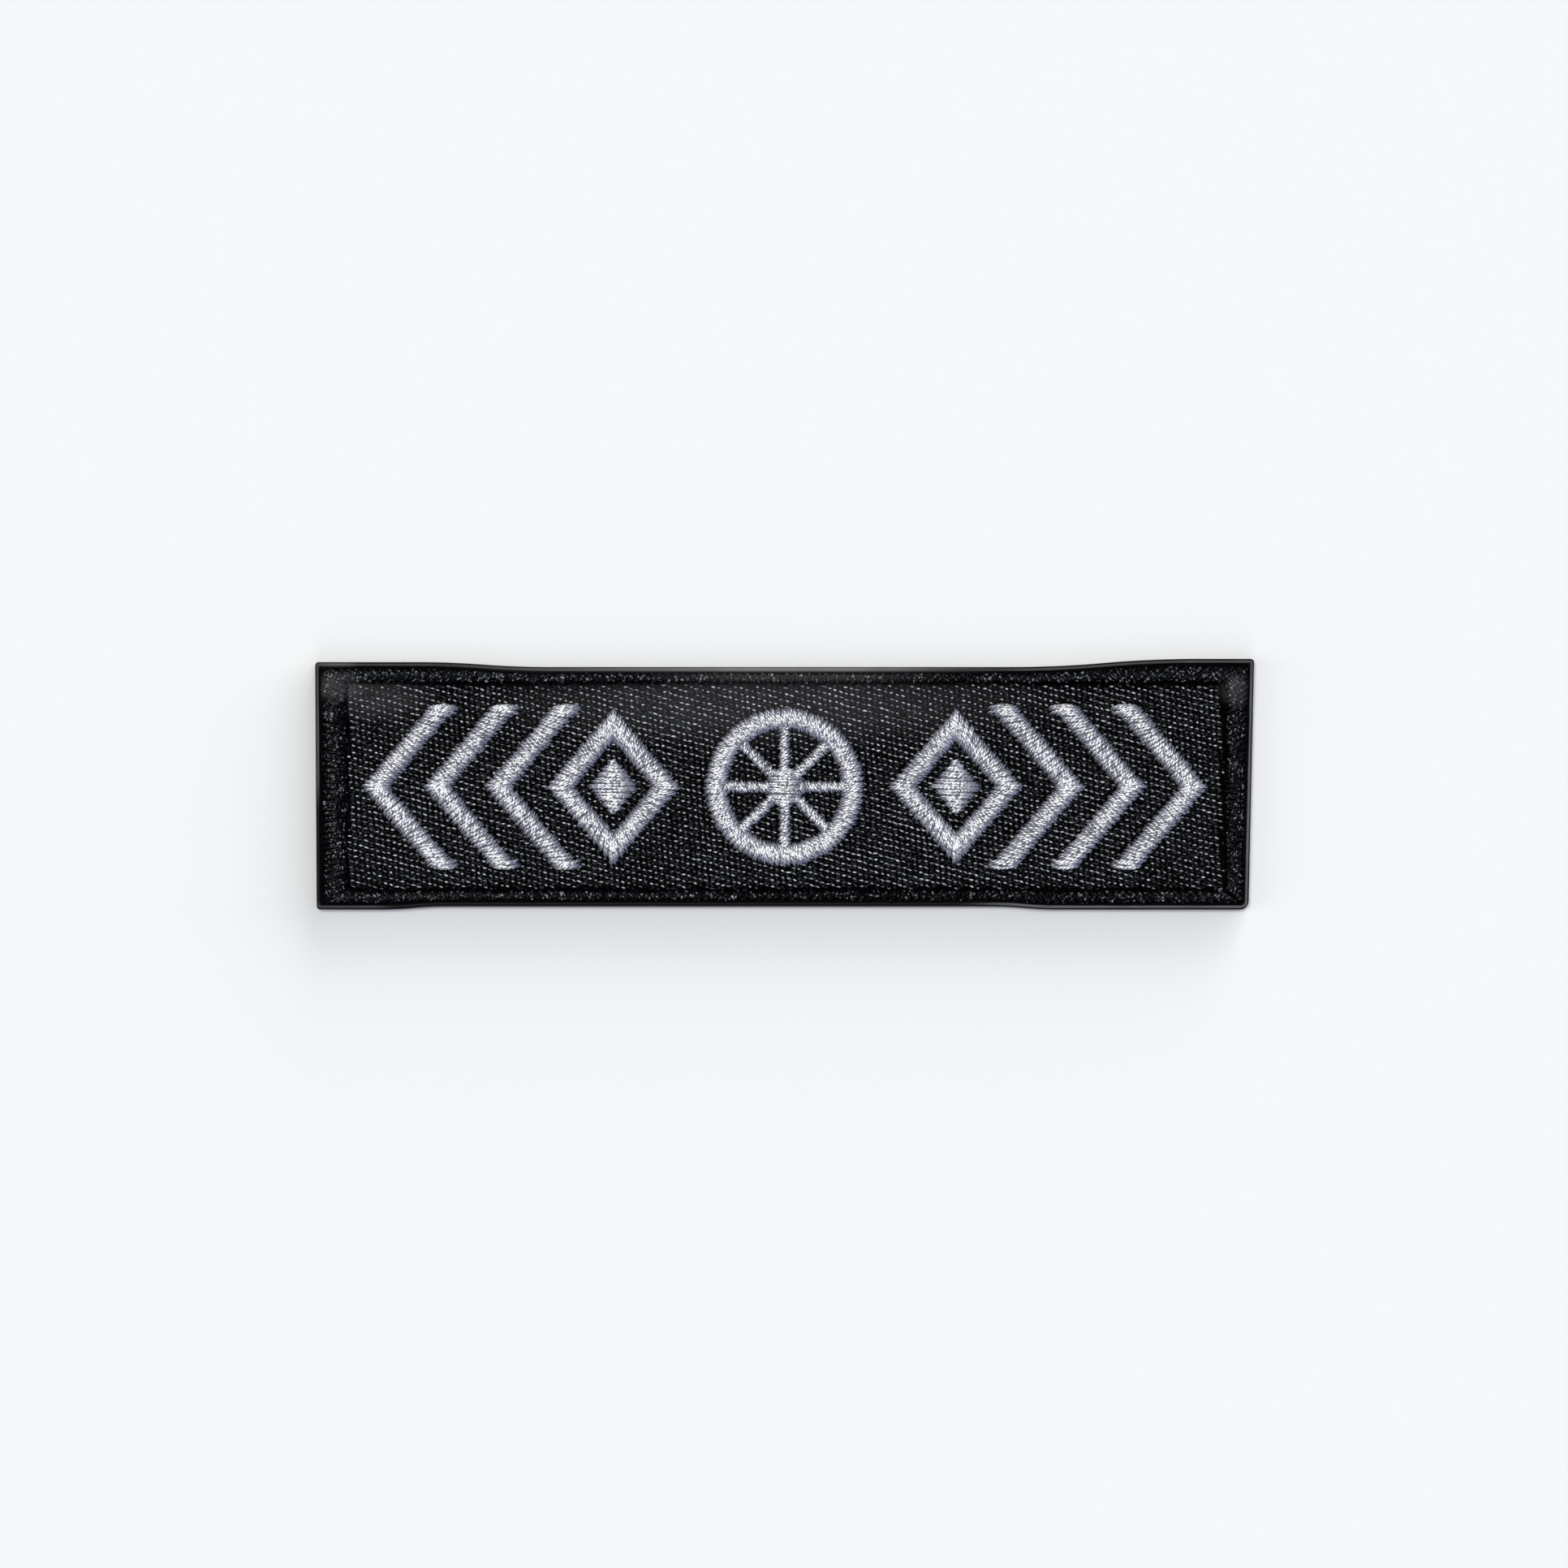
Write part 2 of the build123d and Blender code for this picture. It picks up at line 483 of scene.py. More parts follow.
class TwillTree(GeometryTree):
    """Sets one kind of yarn hump on the cloth, on the stepped lattice of a twill."""

    STEPS = 4  # columns until the lattice repeats
    SEGMENTS = 6
    RINGS = 4
    LENGTHS = (0.7, 1.15)  # of the humps, as shares of the yarn's
    WIDTHS = (0.75, 1.15)
    BLUNTNESS = 0.75  # 1 is round
    WANDER_CELLS = 160.0
    WANDER = 0.3  # the width of the yarns' wandering, as a share of a repeat
    DROP = 10 * MM  # how far above the cloth the rays start

    def __init__(self) -> None:
        """Builds the tree."""
        super().__init__(
            "twill_yarns",
            Geometry=("Host",),
            Object=("Cloth", "Cover"),
            Int=("Columns", "Rows", "Seed"),
            Float=(
                *("Column Pitch", "Repeat", "Lean", "Phase", "Half Length", "Half Height"),
                *("Middle", "Fray", "Lift", "Stray", "Tilt", "Tilt Spread"),
            ),
            Vector=("Yarn",),
            Material=("Material",),
        )
        self.index = self.node("GeometryNodeInputIndex")
        self.position = self.node("GeometryNodeInputPosition")
        self.finish(self._humps(self._on_cloth(self._kept(self._lattice()))))

    def _lattice(self) -> Wire:
        """Points in columns, each a quarter of a repeat lower than the one before.

        Returns:
            The points.
        """
        names = ("Column Pitch", "Repeat", "Columns", "Rows")
        pitch, repeat, columns, rows = (self.input(name) for name in names)
        sizes = {"Size X": (columns - 1) * pitch, "Size Y": (rows - 1) * repeat}
        counts = {"Vertices X": columns, "Vertices Y": rows}
        grid = self.node("GeometryNodeMeshGrid", sizes | counts)
        x, y, _ = self.parts(self.position)
        column = (x / pitch + 0.5 * columns).floor()
        step = (column / self.STEPS) % 1
        y = y + (self.input("Phase") - step) * repeat + self.input("Middle")
        # The yarns wander a little, and each hump strays from its place on them.
        wander = self.wander(self.vector(x, y), self.WANDER_CELLS, self.WANDER * repeat)
        stray_x, stray_y = (
            self.random(-1, 1, self.index, stream) * self.input("Stray") for stream in (1, 2)
        )
        place = self.vector(x - self.input("Lean") * y + stray_x, y + stray_y) + wander
        return self.node("GeometryNodeSetPosition", {"Geometry": grid, "Position": place})

    def _hit(self, target: str) -> Wire:
        """A ray straight down on an object from above each point.

        Args:
            target: the name of the object's input.

        Returns:
            Whether it hit. The ray's node has the place as another output.
        """
        thing = {"Object": self.input(target)}
        info = self.node("GeometryNodeObjectInfo", thing, transform_space="ORIGINAL")
        inputs = {
            "Target Geometry": info["Geometry"],
            "Source Position": self.position + self.vector(z=self.DROP),
            "Ray Direction": (0.0, 0.0, -1.0),
            "Ray Length": 2 * self.DROP,
        }
        return self.node("GeometryNodeRaycast", inputs)["Is Hit"]

    def _kept(self, points: Wire) -> Wire:
        """The points inside the window that no figure covers.

        Args:
            points: all the points.

        Returns:
            Those that are kept. Some near the window's edge go too, so that it frays.
        """
        x, y, _ = self.parts(self.position)
        fray = self.random(0, 1, self.index, 7) * self.input("Fray")
        past_end = abs(x) + fray > self.input("Half Length")
        past_side = abs(y - self.input("Middle")) + 0.5 * fray > self.input("Half Height")
        gone = past_end + past_side + self._hit("Cover")
        inputs = {"Geometry": points, "Selection": gone > 0.5}
        return self.node("GeometryNodeDeleteGeometry", inputs, domain="POINT")

    def _on_cloth(self, points: Wire) -> Wire:
        """The points set down on the cloth."""
        place = self._hit("Cloth")["Hit Position"] + self.vector(z=self.input("Lift"))
        return self.node("GeometryNodeSetPosition", {"Geometry": points, "Position": place})

    def _humps(self, points: Wire) -> Wire:
        """Sets a hump of yarn at each point, with a number for how bright it is.

        Args:
            points: the points.

        Returns:
            The humps, as instances.
        """
        sizes = {"Segments": self.SEGMENTS, "Rings": self.RINGS, "Radius": 1.0}
        ball = self.node("GeometryNodeMeshUVSphere", sizes)
        # The poles go to the yarn's ends, which are drawn out to be blunt.
        turned = {"Geometry": ball, "Rotation": (0.0, pi / 2, 0.0)}
        ball = self.node("GeometryNodeTransform", turned)
        x, y, z = self.parts(self.position)
        blunt = self.vector(x.sign() * abs(x) ** self.BLUNTNESS, y, z)
        ball = self.node("GeometryNodeSetPosition", {"Geometry": ball, "Position": blunt})
        ball = self.store(ball, "end", abs(x))
        spread = self.random(-1, 1, self.index, 3) * self.input("Tilt Spread")
        long = 0.5 * self.random(*self.LENGTHS, self.index, 4)
        wide = 0.5 * self.random(*self.WIDTHS, self.index, 6)
        inputs = {
            "Points": points,
            "Instance": ball,
            "Rotation": self.vector(z=self.input("Tilt") + spread),
            "Scale": self.input("Yarn") * self.vector(long, wide, wide),
        }
        humps = self.node("GeometryNodeInstanceOnPoints", inputs)
        return self.store(humps, "glint", self.random(0, 1, self.index, 5), "INSTANCE")


@dataclass(frozen=True)
class Corner:
    """How one corner of the patch departs from a plain rectangle.

    flare, lean and rounding are shares of the outline's edge_flare, side_lean and corner_radius.
    level and slope are shares of its length: the long edge runs level from the corner, then
    slopes to the height that it keeps along its middle.
    """

    side_x: int
    side_y: int
    flare: float
    lean: float
    rounding: float
    level: float
    slope: float


@dataclass(frozen=True)
class PatchOutline:
    """The patch's outline, the same as the CAD's."""

    length: float = 100.0 * MM
    height: float = 26.7 * MM
    edge_flare: float = 0.87 * MM
    side_lean: float = 0.6 * MM
    corner_radius: float = 0.9 * MM
    least_radius: float = 0.05 * MM
    rim_width: float = 0.65 * MM
    border_width_long: float = 1.0 * MM
    border_width_short: float = 2.4 * MM
    window_corner_radius: float = 0.35 * MM
    # Anticlockwise from the bottom left.
    corners: tuple[Corner, ...] = (
        Corner(-1, -1, flare=0.37, lean=0.28, rounding=0.4, level=0.07, slope=0.07),
        Corner(1, -1, flare=0.37, lean=1.0, rounding=1.0, level=0.21, slope=0.07),
        Corner(1, 1, flare=1.0, lean=0.0, rounding=0.4, level=0.06, slope=0.2),
        Corner(-1, 1, flare=0.6, lean=0.0, rounding=0.4, level=0.11, slope=0.14),
    )

    def middle(self, side_y: int) -> float:
        """The height that a long edge keeps along its middle."""
        flare = max(corner.flare for corner in self.corners if corner.side_y == side_y)
        return side_y * (self.height / 2 - flare * self.edge_flare)

    @property
    def window_half(self) -> Point:
        """The size of the window inside the border.

        Returns:
            Half its length and half its height.
        """
        half_length = self.length / 2 - self.rim_width - self.border_width_short
        taken = 2 * (self.rim_width + self.border_width_long)
        return half_length, (self.middle(1) - self.middle(-1) - taken) / 2

    @property
    def window_middle(self) -> float:
        """The height of the window's middle line."""
        return (self.middle(1) + self.middle(-1)) / 2

    def corner_point(self, corner: Corner, inset: float) -> Point:
        """A sharp corner of the outline.

        Args:
            corner: the corner.
            inset: how far it is taken in from both of its edges.

        Returns:
            The corner's place.
        """
        x = corner.side_x * (self.length / 2 - corner.lean * self.side_lean - inset)
        rise = corner.flare * self.edge_flare - inset
        return x, self.middle(corner.side_y) + corner.side_y * rise

    def long_edge(self, side_y: int, x: float, inset: float) -> float:
        """The height of a long edge.

        Args:
            side_y: 1 for the upper edge, -1 for the lower.
            x: the place along it.
            inset: how far it is taken in.

        Returns:
            The height there.
        """
        side_x = 1 if x > 0 else -1
        corner = next(c for c in self.corners if (c.side_x, c.side_y) == (side_x, side_y))
        run = corner.slope * self.length
        rise = corner.flare * self.edge_flare
        past = abs(x) - (0.5 - corner.level - corner.slope) * self.length
        return self.middle(side_y) + side_y * (s_curve(past, run, rise) - inset)

    def loop(self, inset: float, counts: tuple[int, int]) -> list[Point]:
        """The outline as a closed loop, taken in by inset.

        Args:
            inset: how far it is taken in.
            counts: how many steps a long side and a short side have.

        Returns:
            The loop's points, anticlockwise from the bottom left corner.
        """
        points = [self.corner_point(corner, inset) for corner in self.corners]
        radii = [
            max(corner.rounding * self.corner_radius - inset, self.least_radius)
            for corner in self.corners
        ]
        return rounded_loop(points, radii, counts, lambda side, x: self.long_edge(side, x, inset))

    def window_loop(self, inset: float, counts: tuple[int, int]) -> list[Point]:
        """The window inside the border as a closed loop.

        Args:
            inset: how far it is taken in.
            counts: how many steps a long side and a short side have.

        Returns:
            The loop's points, anticlockwise from the bottom left corner.
        """
        half_x, half_y = (half - inset for half in self.window_half)
        middle = self.window_middle
        points = [(c.side_x * half_x, middle + c.side_y * half_y) for c in self.corners]
        radii = [self.window_corner_radius] * len(points)
        return rounded_loop(points, radii, counts, lambda side, x: middle + side * half_y)


def s_curve(past: float, run: float, rise: float) -> float:
    """The height of a slope that is made of two arcs.

    Args:
        past: the distance past its foot.
        run: its length.
        rise: its full height.

    Returns:
        The height there.
    """
    if past <= 0:
        return 0.0
    if past >= run:
        return rise
    radius = (run**2 + rise**2) / (4 * rise)
    if past < run / 2:
        return radius - sqrt(radius**2 - past**2)
    return rise - radius + sqrt(radius**2 - (run - past) ** 2)


def rounded_loop(
    corners: Sequence[Point],
    radii: Sequence[float],
    counts: tuple[int, int],
    long_edge: Callable[[int, float], float],
    arc_steps: int = 3,
) -> list[Point]:
    """A rounded four-sided loop. Each side runs from the middle of one corner's arc to the next.

    Args:
        corners: the sharp corners, anticlockwise from the bottom left.
        radii: each corner's radius.
        counts: how many steps a long side and a short side have.
        long_edge: the height of a long side, from its direction in Y and X.
        arc_steps: how many steps half a corner's arc has.

    Returns:
        The loop's points, anticlockwise from the middle of the bottom left arc.
    """
    points = []
    for side in range(4):
        is_long = side % 2 == 0
        count = counts[0] if is_long else counts[1]
        start, end = Vector(corners[side]), Vector(corners[(side + 1) % 4])
        along = (end - start).normalized()
        # Sides take the axis that they run along, so that the arcs meet at their middles.
        axis = Vector((round(along.x), round(along.y)))
        inward = Vector((-axis.y, axis.x))
        radius_start, radius_end = radii[side], radii[(side + 1) % 4]
        for step in range(count):
            if step < arc_steps:
                angle = pi / 4 * (1 - step / arc_steps)
                centre = start + radius_start * (axis + inward)
                point = centre - radius_start * (sin(angle) * axis + cos(angle) * inward)
            elif step > count - arc_steps:
                angle = pi / 4 * (step - count + arc_steps) / arc_steps
                centre = end + radius_end * (inward - axis)
                point = centre + radius_end * (sin(angle) * axis - cos(angle) * inward)
            else:
                share = (step - arc_steps) / (count - 2 * arc_steps)
                first = start + radius_start * along
                point = first.lerp(end - radius_end * along, share)
                if is_long:
                    point.y = long_edge(-1 if side == 0 else 1, point.x)
            points.append((point.x, point.y))
    return points


def as_object(name: str, mesh: bpy.types.Mesh) -> bpy.types.Object:
    """Adds a mesh to the scene.

    Args:
        name: the object's name, and the mesh's.
        mesh: the mesh.

    Returns:
        The object.
    """
    mesh.name = name
    piece = bpy.data.objects.new(name, mesh)
    bpy.context.scene.collection.objects.link(piece)
    return piece


def closed_mesh(
    name: str, shape: bmesh.types.BMesh, materials: Sequence[bpy.types.Material]
) -> bpy.types.Mesh:
    """Turns a closed shape into a smooth mesh whose faces point outwards.

    Args:
        name: the mesh's name.
        shape: the shape, which is freed.
        materials: the mesh's materials.

    Returns:
        The mesh.
    """
    bmesh.ops.recalc_face_normals(shape, faces=shape.faces)
    for face in shape.faces:
        face.smooth = True
    mesh = bpy.data.meshes.new(name)
    shape.to_mesh(mesh)
    shape.free()
    for material in materials:
        mesh.materials.append(material)
    return mesh


def joined(name: str, meshes: Sequence[bpy.types.Mesh]) -> bpy.types.Object:
    """One object from several meshes.

    Args:
        name: the object's name.
        meshes: the meshes. Their materials and attributes are kept.

    Returns:
        The object.
    """
    materials: list[bpy.types.Material] = []
    whole = bmesh.new()
    for mesh in meshes:
        materials += [material for material in mesh.materials if material not in materials]
        places = [materials.index(material) for material in mesh.materials]
        first = len(whole.faces)
        whole.from_mesh(mesh)
        whole.faces.ensure_lookup_table()
        for face in whole.faces[first:]:
            face.material_index = places[face.material_index]
    result = bpy.data.meshes.new(name)
    whole.to_mesh(result)
    whole.free()
    for material in materials:
        result.materials.append(material)
    return as_object(name, result)


def finished(piece: bpy.types.Object, slot: Slot, node: str | None = None) -> bpy.types.Object:
    """Attaches a finished piece to its body, hides the CAD node that it stands for, and logs its
    number of triangles.

    Args:
        piece: the piece.
        slot: not used.
        node: the CAD node that it stands for, if any.

    Returns:
        The piece.
    """
    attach(piece, BODY)
    if node:
        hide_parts(node)
    triangles = sum(len(face.vertices) - 2 for face in piece.data.polygons)
    log.info("%s: %d triangles", piece.name, triangles)
    return piece


@dataclass(frozen=True)
class Thread:
    """Embroidery thread as it lies in a satin stitch."""

    pitch: float = 0.31 * MM
    ply_radius: float = 0.12 * MM
    ply_spread: float = 0.115 * MM
    twist: float = 0.9 * MM
    zigzag: float = 0.2
    scatter: float = 0.11 * MM
    foot: float = 0.16 * MM
    waver: float = 0.085 * MM
    waver_length: float = 0.5 * MM

    @property
    def radius(self) -> float:
        """Half the height of the whole thread."""
        return self.ply_radius + 0.5 * self.ply_spread


@dataclass
class SatinColumn:
    """One run of satin stitch between two rails, over its padding."""

    left: list[Point]
    right: list[Point]
    base: float
    top: float
    closed: bool = False
    bow: Point = (0.0, 0.0)  # how far the middle of each thread is pulled aside
    end_slope: float = 0.0  # how far from an open end the padding reaches its full height

    STEPS = 10
    SLOPE_SHARES = (0.05, 0.2, 0.45, 1.0)
    SINK = 0.1 * MM  # how far the padding's edges stand in the cloth
    EDGE = 0.07  # how far in from a rail they are, as a share of the column's width
    ROOM = 1.7  # between the padding's crown and the threads' top, in thread radii

    def length(self) -> float:
        """Measures the column square to its threads.

        Returns:
            The length of the longer rail.
        """
        longest = 0.0
        for rail in (self.left, self.right):
            total = 0.0
            for number in range(1, len(rail)):
                thread = Vector(self.right[number]) - Vector(self.left[number])
                step = Vector(rail[number]) - Vector(rail[number - 1])
                total += abs(thread.normalized().cross(step))
            longest = max(longest, total)
        return longest

    def _sections(self) -> list[Section]:
        """The padding's sections.

        Returns:
            The two sides of each, and its share of the full height.
        """
        pairs = [(Vector(a), Vector(b)) for a, b in zip(self.left, self.right)]
        full = [(a, b, 1.0) for a, b in pairs]
        if self.closed:
            return full[:-1]
        if not self.end_slope:
            return full
        start, end = self._sloped(pairs[0], pairs[1]), self._sloped(pairs[-1], pairs[-2])
        return [*start, *full[1:-1], *end[::-1]]

    def _sloped(self, end: Pair, following: Pair) -> list[Section]:
        """The sections by which the padding rises from an open end.

        Args:
            end: the two sides of the end.
            following: the two sides of the full section next to it.

        Returns:
            The sections, from the end inwards.
        """
        length = (following[0] + following[1] - (end[0] + end[1])).length / 2
        made = []
        for share in self.SLOPE_SHARES:
            inwards = share * self.end_slope / length
            a, b = (outer.lerp(inner, inwards) for outer, inner in zip(end, following))
            made.append((a, b, sqrt(share)))
        return made

    def padding(self, thread: Thread, material: bpy.types.Material) -> bpy.types.Mesh:
        """The padded bed under the stitches, as a closed mesh.

        Args:
            thread: the thread that lies on it.
            material: its material.

        Returns:
            The mesh.
        """
        crown = self.top - self.base - self.ROOM * thread.radius
        shape = bmesh.new()
        rings = []
        for a, b, share in self._sections():
            ring = []
            for step in range(self.STEPS + 1):
                across = 0.5 - 0.5 * cos(pi * step / self.STEPS)
                rise = share * sqrt(max(0.0, 1 - abs(2 * across - 1) ** DOME_POWER))
                place = a.lerp(b, self.EDGE + (1 - 2 * self.EDGE) * across)
                height = self.base - self.SINK + (crown + self.SINK) * rise
                ring.append(shape.verts.new((place.x, place.y, height)))
            rings.append(ring)
        pairs = list(zip(rings, rings[1:]))
        if self.closed:
            pairs.append((rings[-1], rings[0]))
        for ring, following in pairs:
            for step in range(len(ring)):
                nxt = (step + 1) % len(ring)
                shape.faces.new((ring[step], ring[nxt], following[nxt], following[step]))
        if not self.closed:
            shape.faces.new(rings[0][::-1])
            shape.faces.new(rings[-1])
        return closed_mesh("padding", shape, [material])

    def rails(self) -> bpy.types.Mesh:
        """Makes the mesh that the threads grow from.

        Returns:
            Both rails as loose points, the left one's first.
        """
        mesh = bpy.data.meshes.new("rails")
        mesh.from_pydata([(x, y, self.base) for x, y in (*self.left, *self.right)], [], [])
        return mesh


@dataclass
class Stitcher:
    """Makes satin columns out of one thread."""

    tree: SatinTree
    thread: Thread
    strand_material: bpy.types.Material
    padding_material: bpy.types.Material
    seed: int = 1

    SEED_STEP = 100  # keeps the random numbers of two columns apart

    def stitched(self, column: SatinColumn) -> list[bpy.types.Mesh]:
        """The padding and the threads of one column. Bowed threads have no padding.

        Args:
            column: the column.

        Returns:
            Its meshes.
        """
        self.seed += 1
        thread = self.thread
        values = tree_inputs(thread) | {
            "Strands": max(2, round(column.length() / thread.pitch)),
            "Crown": column.top - column.base - thread.radius,
            "Bow": (*column.bow, 0.0),
            "Seed": self.SEED_STEP * self.seed,
            "Material": self.strand_material,
        }
        threads = self.tree.grow(column.rails(), values)
        if any(column.bow):
            return [threads]
        return [column.padding(thread, self.padding_material), threads]


@dataclass
class Figure(ABC):
    """A satin-stitched piece that takes the place of one CAD node."""

    node: str
    cloth_top: float
    slot: Slot = Slot.SILVER

    def __post_init__(self) -> None:
        """Reads the node's box from the frame."""
        self.low, self.high = (Vector(corner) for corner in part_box(self.node))
        self.centre = (self.low + self.high) / 2
        self.half = (self.high - self.low) / 2

    @abstractmethod
    def columns(self) -> list[SatinColumn]:
        """The figure's runs of satin stitch."""

    def column(self, left: list[Point], right: list[Point], closed: bool = False) -> SatinColumn:
        """A run of satin stitch that is as high as the figure."""
        return SatinColumn(left, right, self.cloth_top, self.high.z, closed)

    def build(self, stitcher: Stitcher) -> bpy.types.Object:
        """Makes the figure.

        Args:
            stitcher: what stitches its columns.

        Returns:
            The finished piece.
        """
        meshes = [mesh for column in self.columns() for mesh in stitcher.stitched(column)]
        piece = joined(f"{self.node}_stitches", meshes)
        for mesh in meshes:
            bpy.data.meshes.remove(mesh)
        return finished(piece, self.slot, self.node)


@dataclass
class Wheel(Figure):
    """The spoked wheel at the middle of the row."""

    stroke: float = 2.3 * MM
    ring_points: int = 96
    spokes: int = 8
    spoke_width: float = 1.15 * MM
    spoke_start: float = 0.8  # as a share of the hub's radius
    spoke_overlap: float = 0.3 * MM  # with the ring
    spoke_drop: float = 0.12 * MM  # below the ring's top
    hub_radius: float = 2.1 * MM
    hub_reach: float = 0.96  # how much of its radius is stitched, up and down
    hub_rows: int = 24

    def _polar(self, radius: float, angle: float) -> Point:
        """A point at a radius and an angle from the wheel's centre."""
        return self.centre.x + radius * cos(angle), self.centre.y + radius * sin(angle)

    def columns(self) -> list[SatinColumn]:
        """The spokes, the hub over their ends, and the ring.

        Returns:
            The columns, in the order in which they are stitched.
        """
        outer = self.half.x
        inner = outer - self.stroke
        made = [self._spoke(2 * pi * number / self.spokes, inner) for number in range(self.spokes)]
        made.append(self._hub())
        angles = [2 * pi * step / self.ring_points for step in range(self.ring_points + 1)]
        outside, inside = ([self._polar(r, angle) for angle in angles] for r in (outer, inner))
        made.append(self.column(outside, inside, closed=True))
        return made

    def _spoke(self, angle: float, inner: float) -> SatinColumn:
        """One spoke.

        Args:
            angle: its direction.
            inner: the ring's inner radius.

        Returns:
            Its column.
        """
        sideways = angle + pi / 2
        radii = (self.spoke_start * self.hub_radius, inner + self.spoke_overlap)
        rails = []
        for side in (-1, 1):
            offset = side * self.spoke_width / 2
            shift = offset * cos(sideways), offset * sin(sideways)
            ends = (self._polar(radius, angle) for radius in radii)
            rails.append([(x + shift[0], y + shift[1]) for x, y in ends])
        spoke = self.column(*rails)
        spoke.top -= self.spoke_drop
        return spoke

    def _hub(self) -> SatinColumn:
        """The round hub, stitched straight across.

        Returns:
            Its column.
        """
        rails: list[list[Point]] = [[], []]
        for row in range(self.hub_rows + 1):
            y = self.hub_radius * self.hub_reach * (2 * row / self.hub_rows - 1)
            x = sqrt(self.hub_radius**2 - y**2)
            for side, rail in zip((-1, 1), rails):
                rail.append((self.centre.x + side * x, self.centre.y + y))
        return self.column(*rails)


@dataclass
class Lozenge(Figure):
    """An outlined lozenge."""

    stroke: float = 2.3 * MM

    def rhombus(self, inset: float) -> list[Point]:
        """The lozenge's corners.

        Args:
            inset: how far each side is taken in.

        Returns:
            The corners, with the first again at the end.
        """
        side = hypot(self.half.x, self.half.y)
        share = 1 - inset * side / (self.half.x * self.half.y)
        x, y = share * self.half.x, share * self.half.y
        corners = ((x, 0), (0, y), (-x, 0), (0, -y), (x, 0))
        return [(self.centre.x + a, self.centre.y + b) for a, b in corners]

    def columns(self) -> list[SatinColumn]:
        """One band all the way round."""
        return [self.column(self.rhombus(0), self.rhombus(self.stroke), closed=True)]


@dataclass
class LozengeCore(Figure):
    """The small solid lozenge, stitched straight across."""

    blunt: float = 0.1  # how much of each tip is left off

    def columns(self) -> list[SatinColumn]:
        """One column between the lozenge's two flanks.

        Returns:
            The column, in a list.
        """
        x, y = self.half.x, self.half.y
        tip_x, tip_y = self.blunt * x, y * (1 - self.blunt)
        rows = ((tip_x, -tip_y), (x, 0), (tip_x, tip_y))
        centre = self.centre
        rails = ([(centre.x + side * a, centre.y + b) for a, b in rows] for side in (-1, 1))
        return [self.column(*rails)]


@dataclass
class Chevron(Figure):
    """A chevron that points away from the wheel, with its threads square to its arms."""

    side: Side = Side.RIGHT
    arm_run: float = 7.2 * MM  # along X, from the tip to an arm's end
    arm_steps: int = 16
    fan_share: float = 0.42  # how much of an arm the threads take to turn square to it
    tie_run: float = 0.75 * MM
    tie_bow: float = 0.3 * MM
    tie_drop: float = 0.06 * MM

    # The layers of threads that close an arm's end: how high each is, as a share of the
    # figure's height, and how far it reaches back, as a share of tie_run.
    TIE_LAYERS = ((0.35, 0.3), (0.65, 0.3), (1.0, 1.0))

    def columns(self) -> list[SatinColumn]:
        """One column that turns at the tip, and the threads that close its ends.

        Returns:
            The columns.
        """
        direction = self.side.value
        tip = self.high.x if direction > 0 else self.low.x
        y = self.half.y
        across = 2 * self.half.x - self.arm_run
        lead = across * self.arm_run / (self.arm_run**2 + y**2)
        outer: list[Point] = []
        inner: list[Point] = []
        for step in range(-self.arm_steps, self.arm_steps + 1):
            # From an arm's end to the tip. The inner edge leads, so that the threads are square.
            share = 1 - abs(step) / self.arm_steps
            ahead = min(1.0, share + lead * min(1.0, share / self.fan_share))
            up = 1 if step < 0 else -1
            for rail, reached, shift in ((outer, share, 0.0), (inner, ahead, across)):
                back = 1 - reached
                x = tip - direction * (back * self.arm_run + shift)
                rail.append((x, self.centre.y + up * back * y))
        arms = self.column(outer, inner)
        arms.end_slope = self.tie_run
        return [arms, *self._tie_offs([outer, inner])]

    def _tie_offs(self, rails: list[list[Point]]) -> list[SatinColumn]:
        """The few threads that close each arm's end in a curve.

        Args:
            rails: the arms' outer and inner edges.

        Returns:
            A column for each layer of each end.
        """
        made = []
        for end, up in ((0, 1), (-1, -1)):
            for share_up, share_back in self.TIE_LAYERS:
                back = up * share_back * self.tie_run
                ends = [[(x, y - back), (x, y)] for x, y in (rail[end] for rail in rails)]
                tie_off = self.column(*ends)
                height = tie_off.top - tie_off.base - self.tie_drop
                tie_off.top = tie_off.base + share_up * height
                tie_off.bow = (0.0, up * self.tie_bow)
                made.append(tie_off)
        return made


@dataclass
class BorderStitching(Figure):
    """The black satin border, one column to a side, mitred at the corners."""

    outline: PatchOutline = field(default_factory=PatchOutline)
    steps: int = 80
    overhang: float = 0.12 * MM  # how far the outer ends of the threads reach past their feet
    left_reach: float = 0.45 * MM  # how far the left side's threads reach over the channel

    def columns(self) -> list[SatinColumn]:
        """The four sides.

        Returns:
            Their columns, anticlockwise from the bottom one.
        """
        outline = self.outline
        inset = outline.rim_width + self.overhang
        outer = [outline.corner_point(corner, inset) for corner in outline.corners]
        half_x, half_y = outline.window_half
        inner = []
        for corner in outline.corners:
            reach = self.left_reach if corner.side_x < 0 else 0.0
            x = corner.side_x * half_x + reach
            inner.append((x, outline.window_middle + corner.side_y * half_y))
        made = []
        for side in range(4):
            rails = []
            for corners in (outer, inner):
                start, end = Vector(corners[side]), Vector(corners[(side + 1) % 4])
                rail = []
                for step in range(self.steps + 1):
                    place = start.lerp(end, step / self.steps)
                    if corners is outer and side % 2 == 0:
                        place.y = outline.long_edge(-1 if side == 0 else 1, place.x, inset)
                    rail.append((place.x, place.y))
                rails.append(rail)
            made.append(self.column(*rails))
        return made


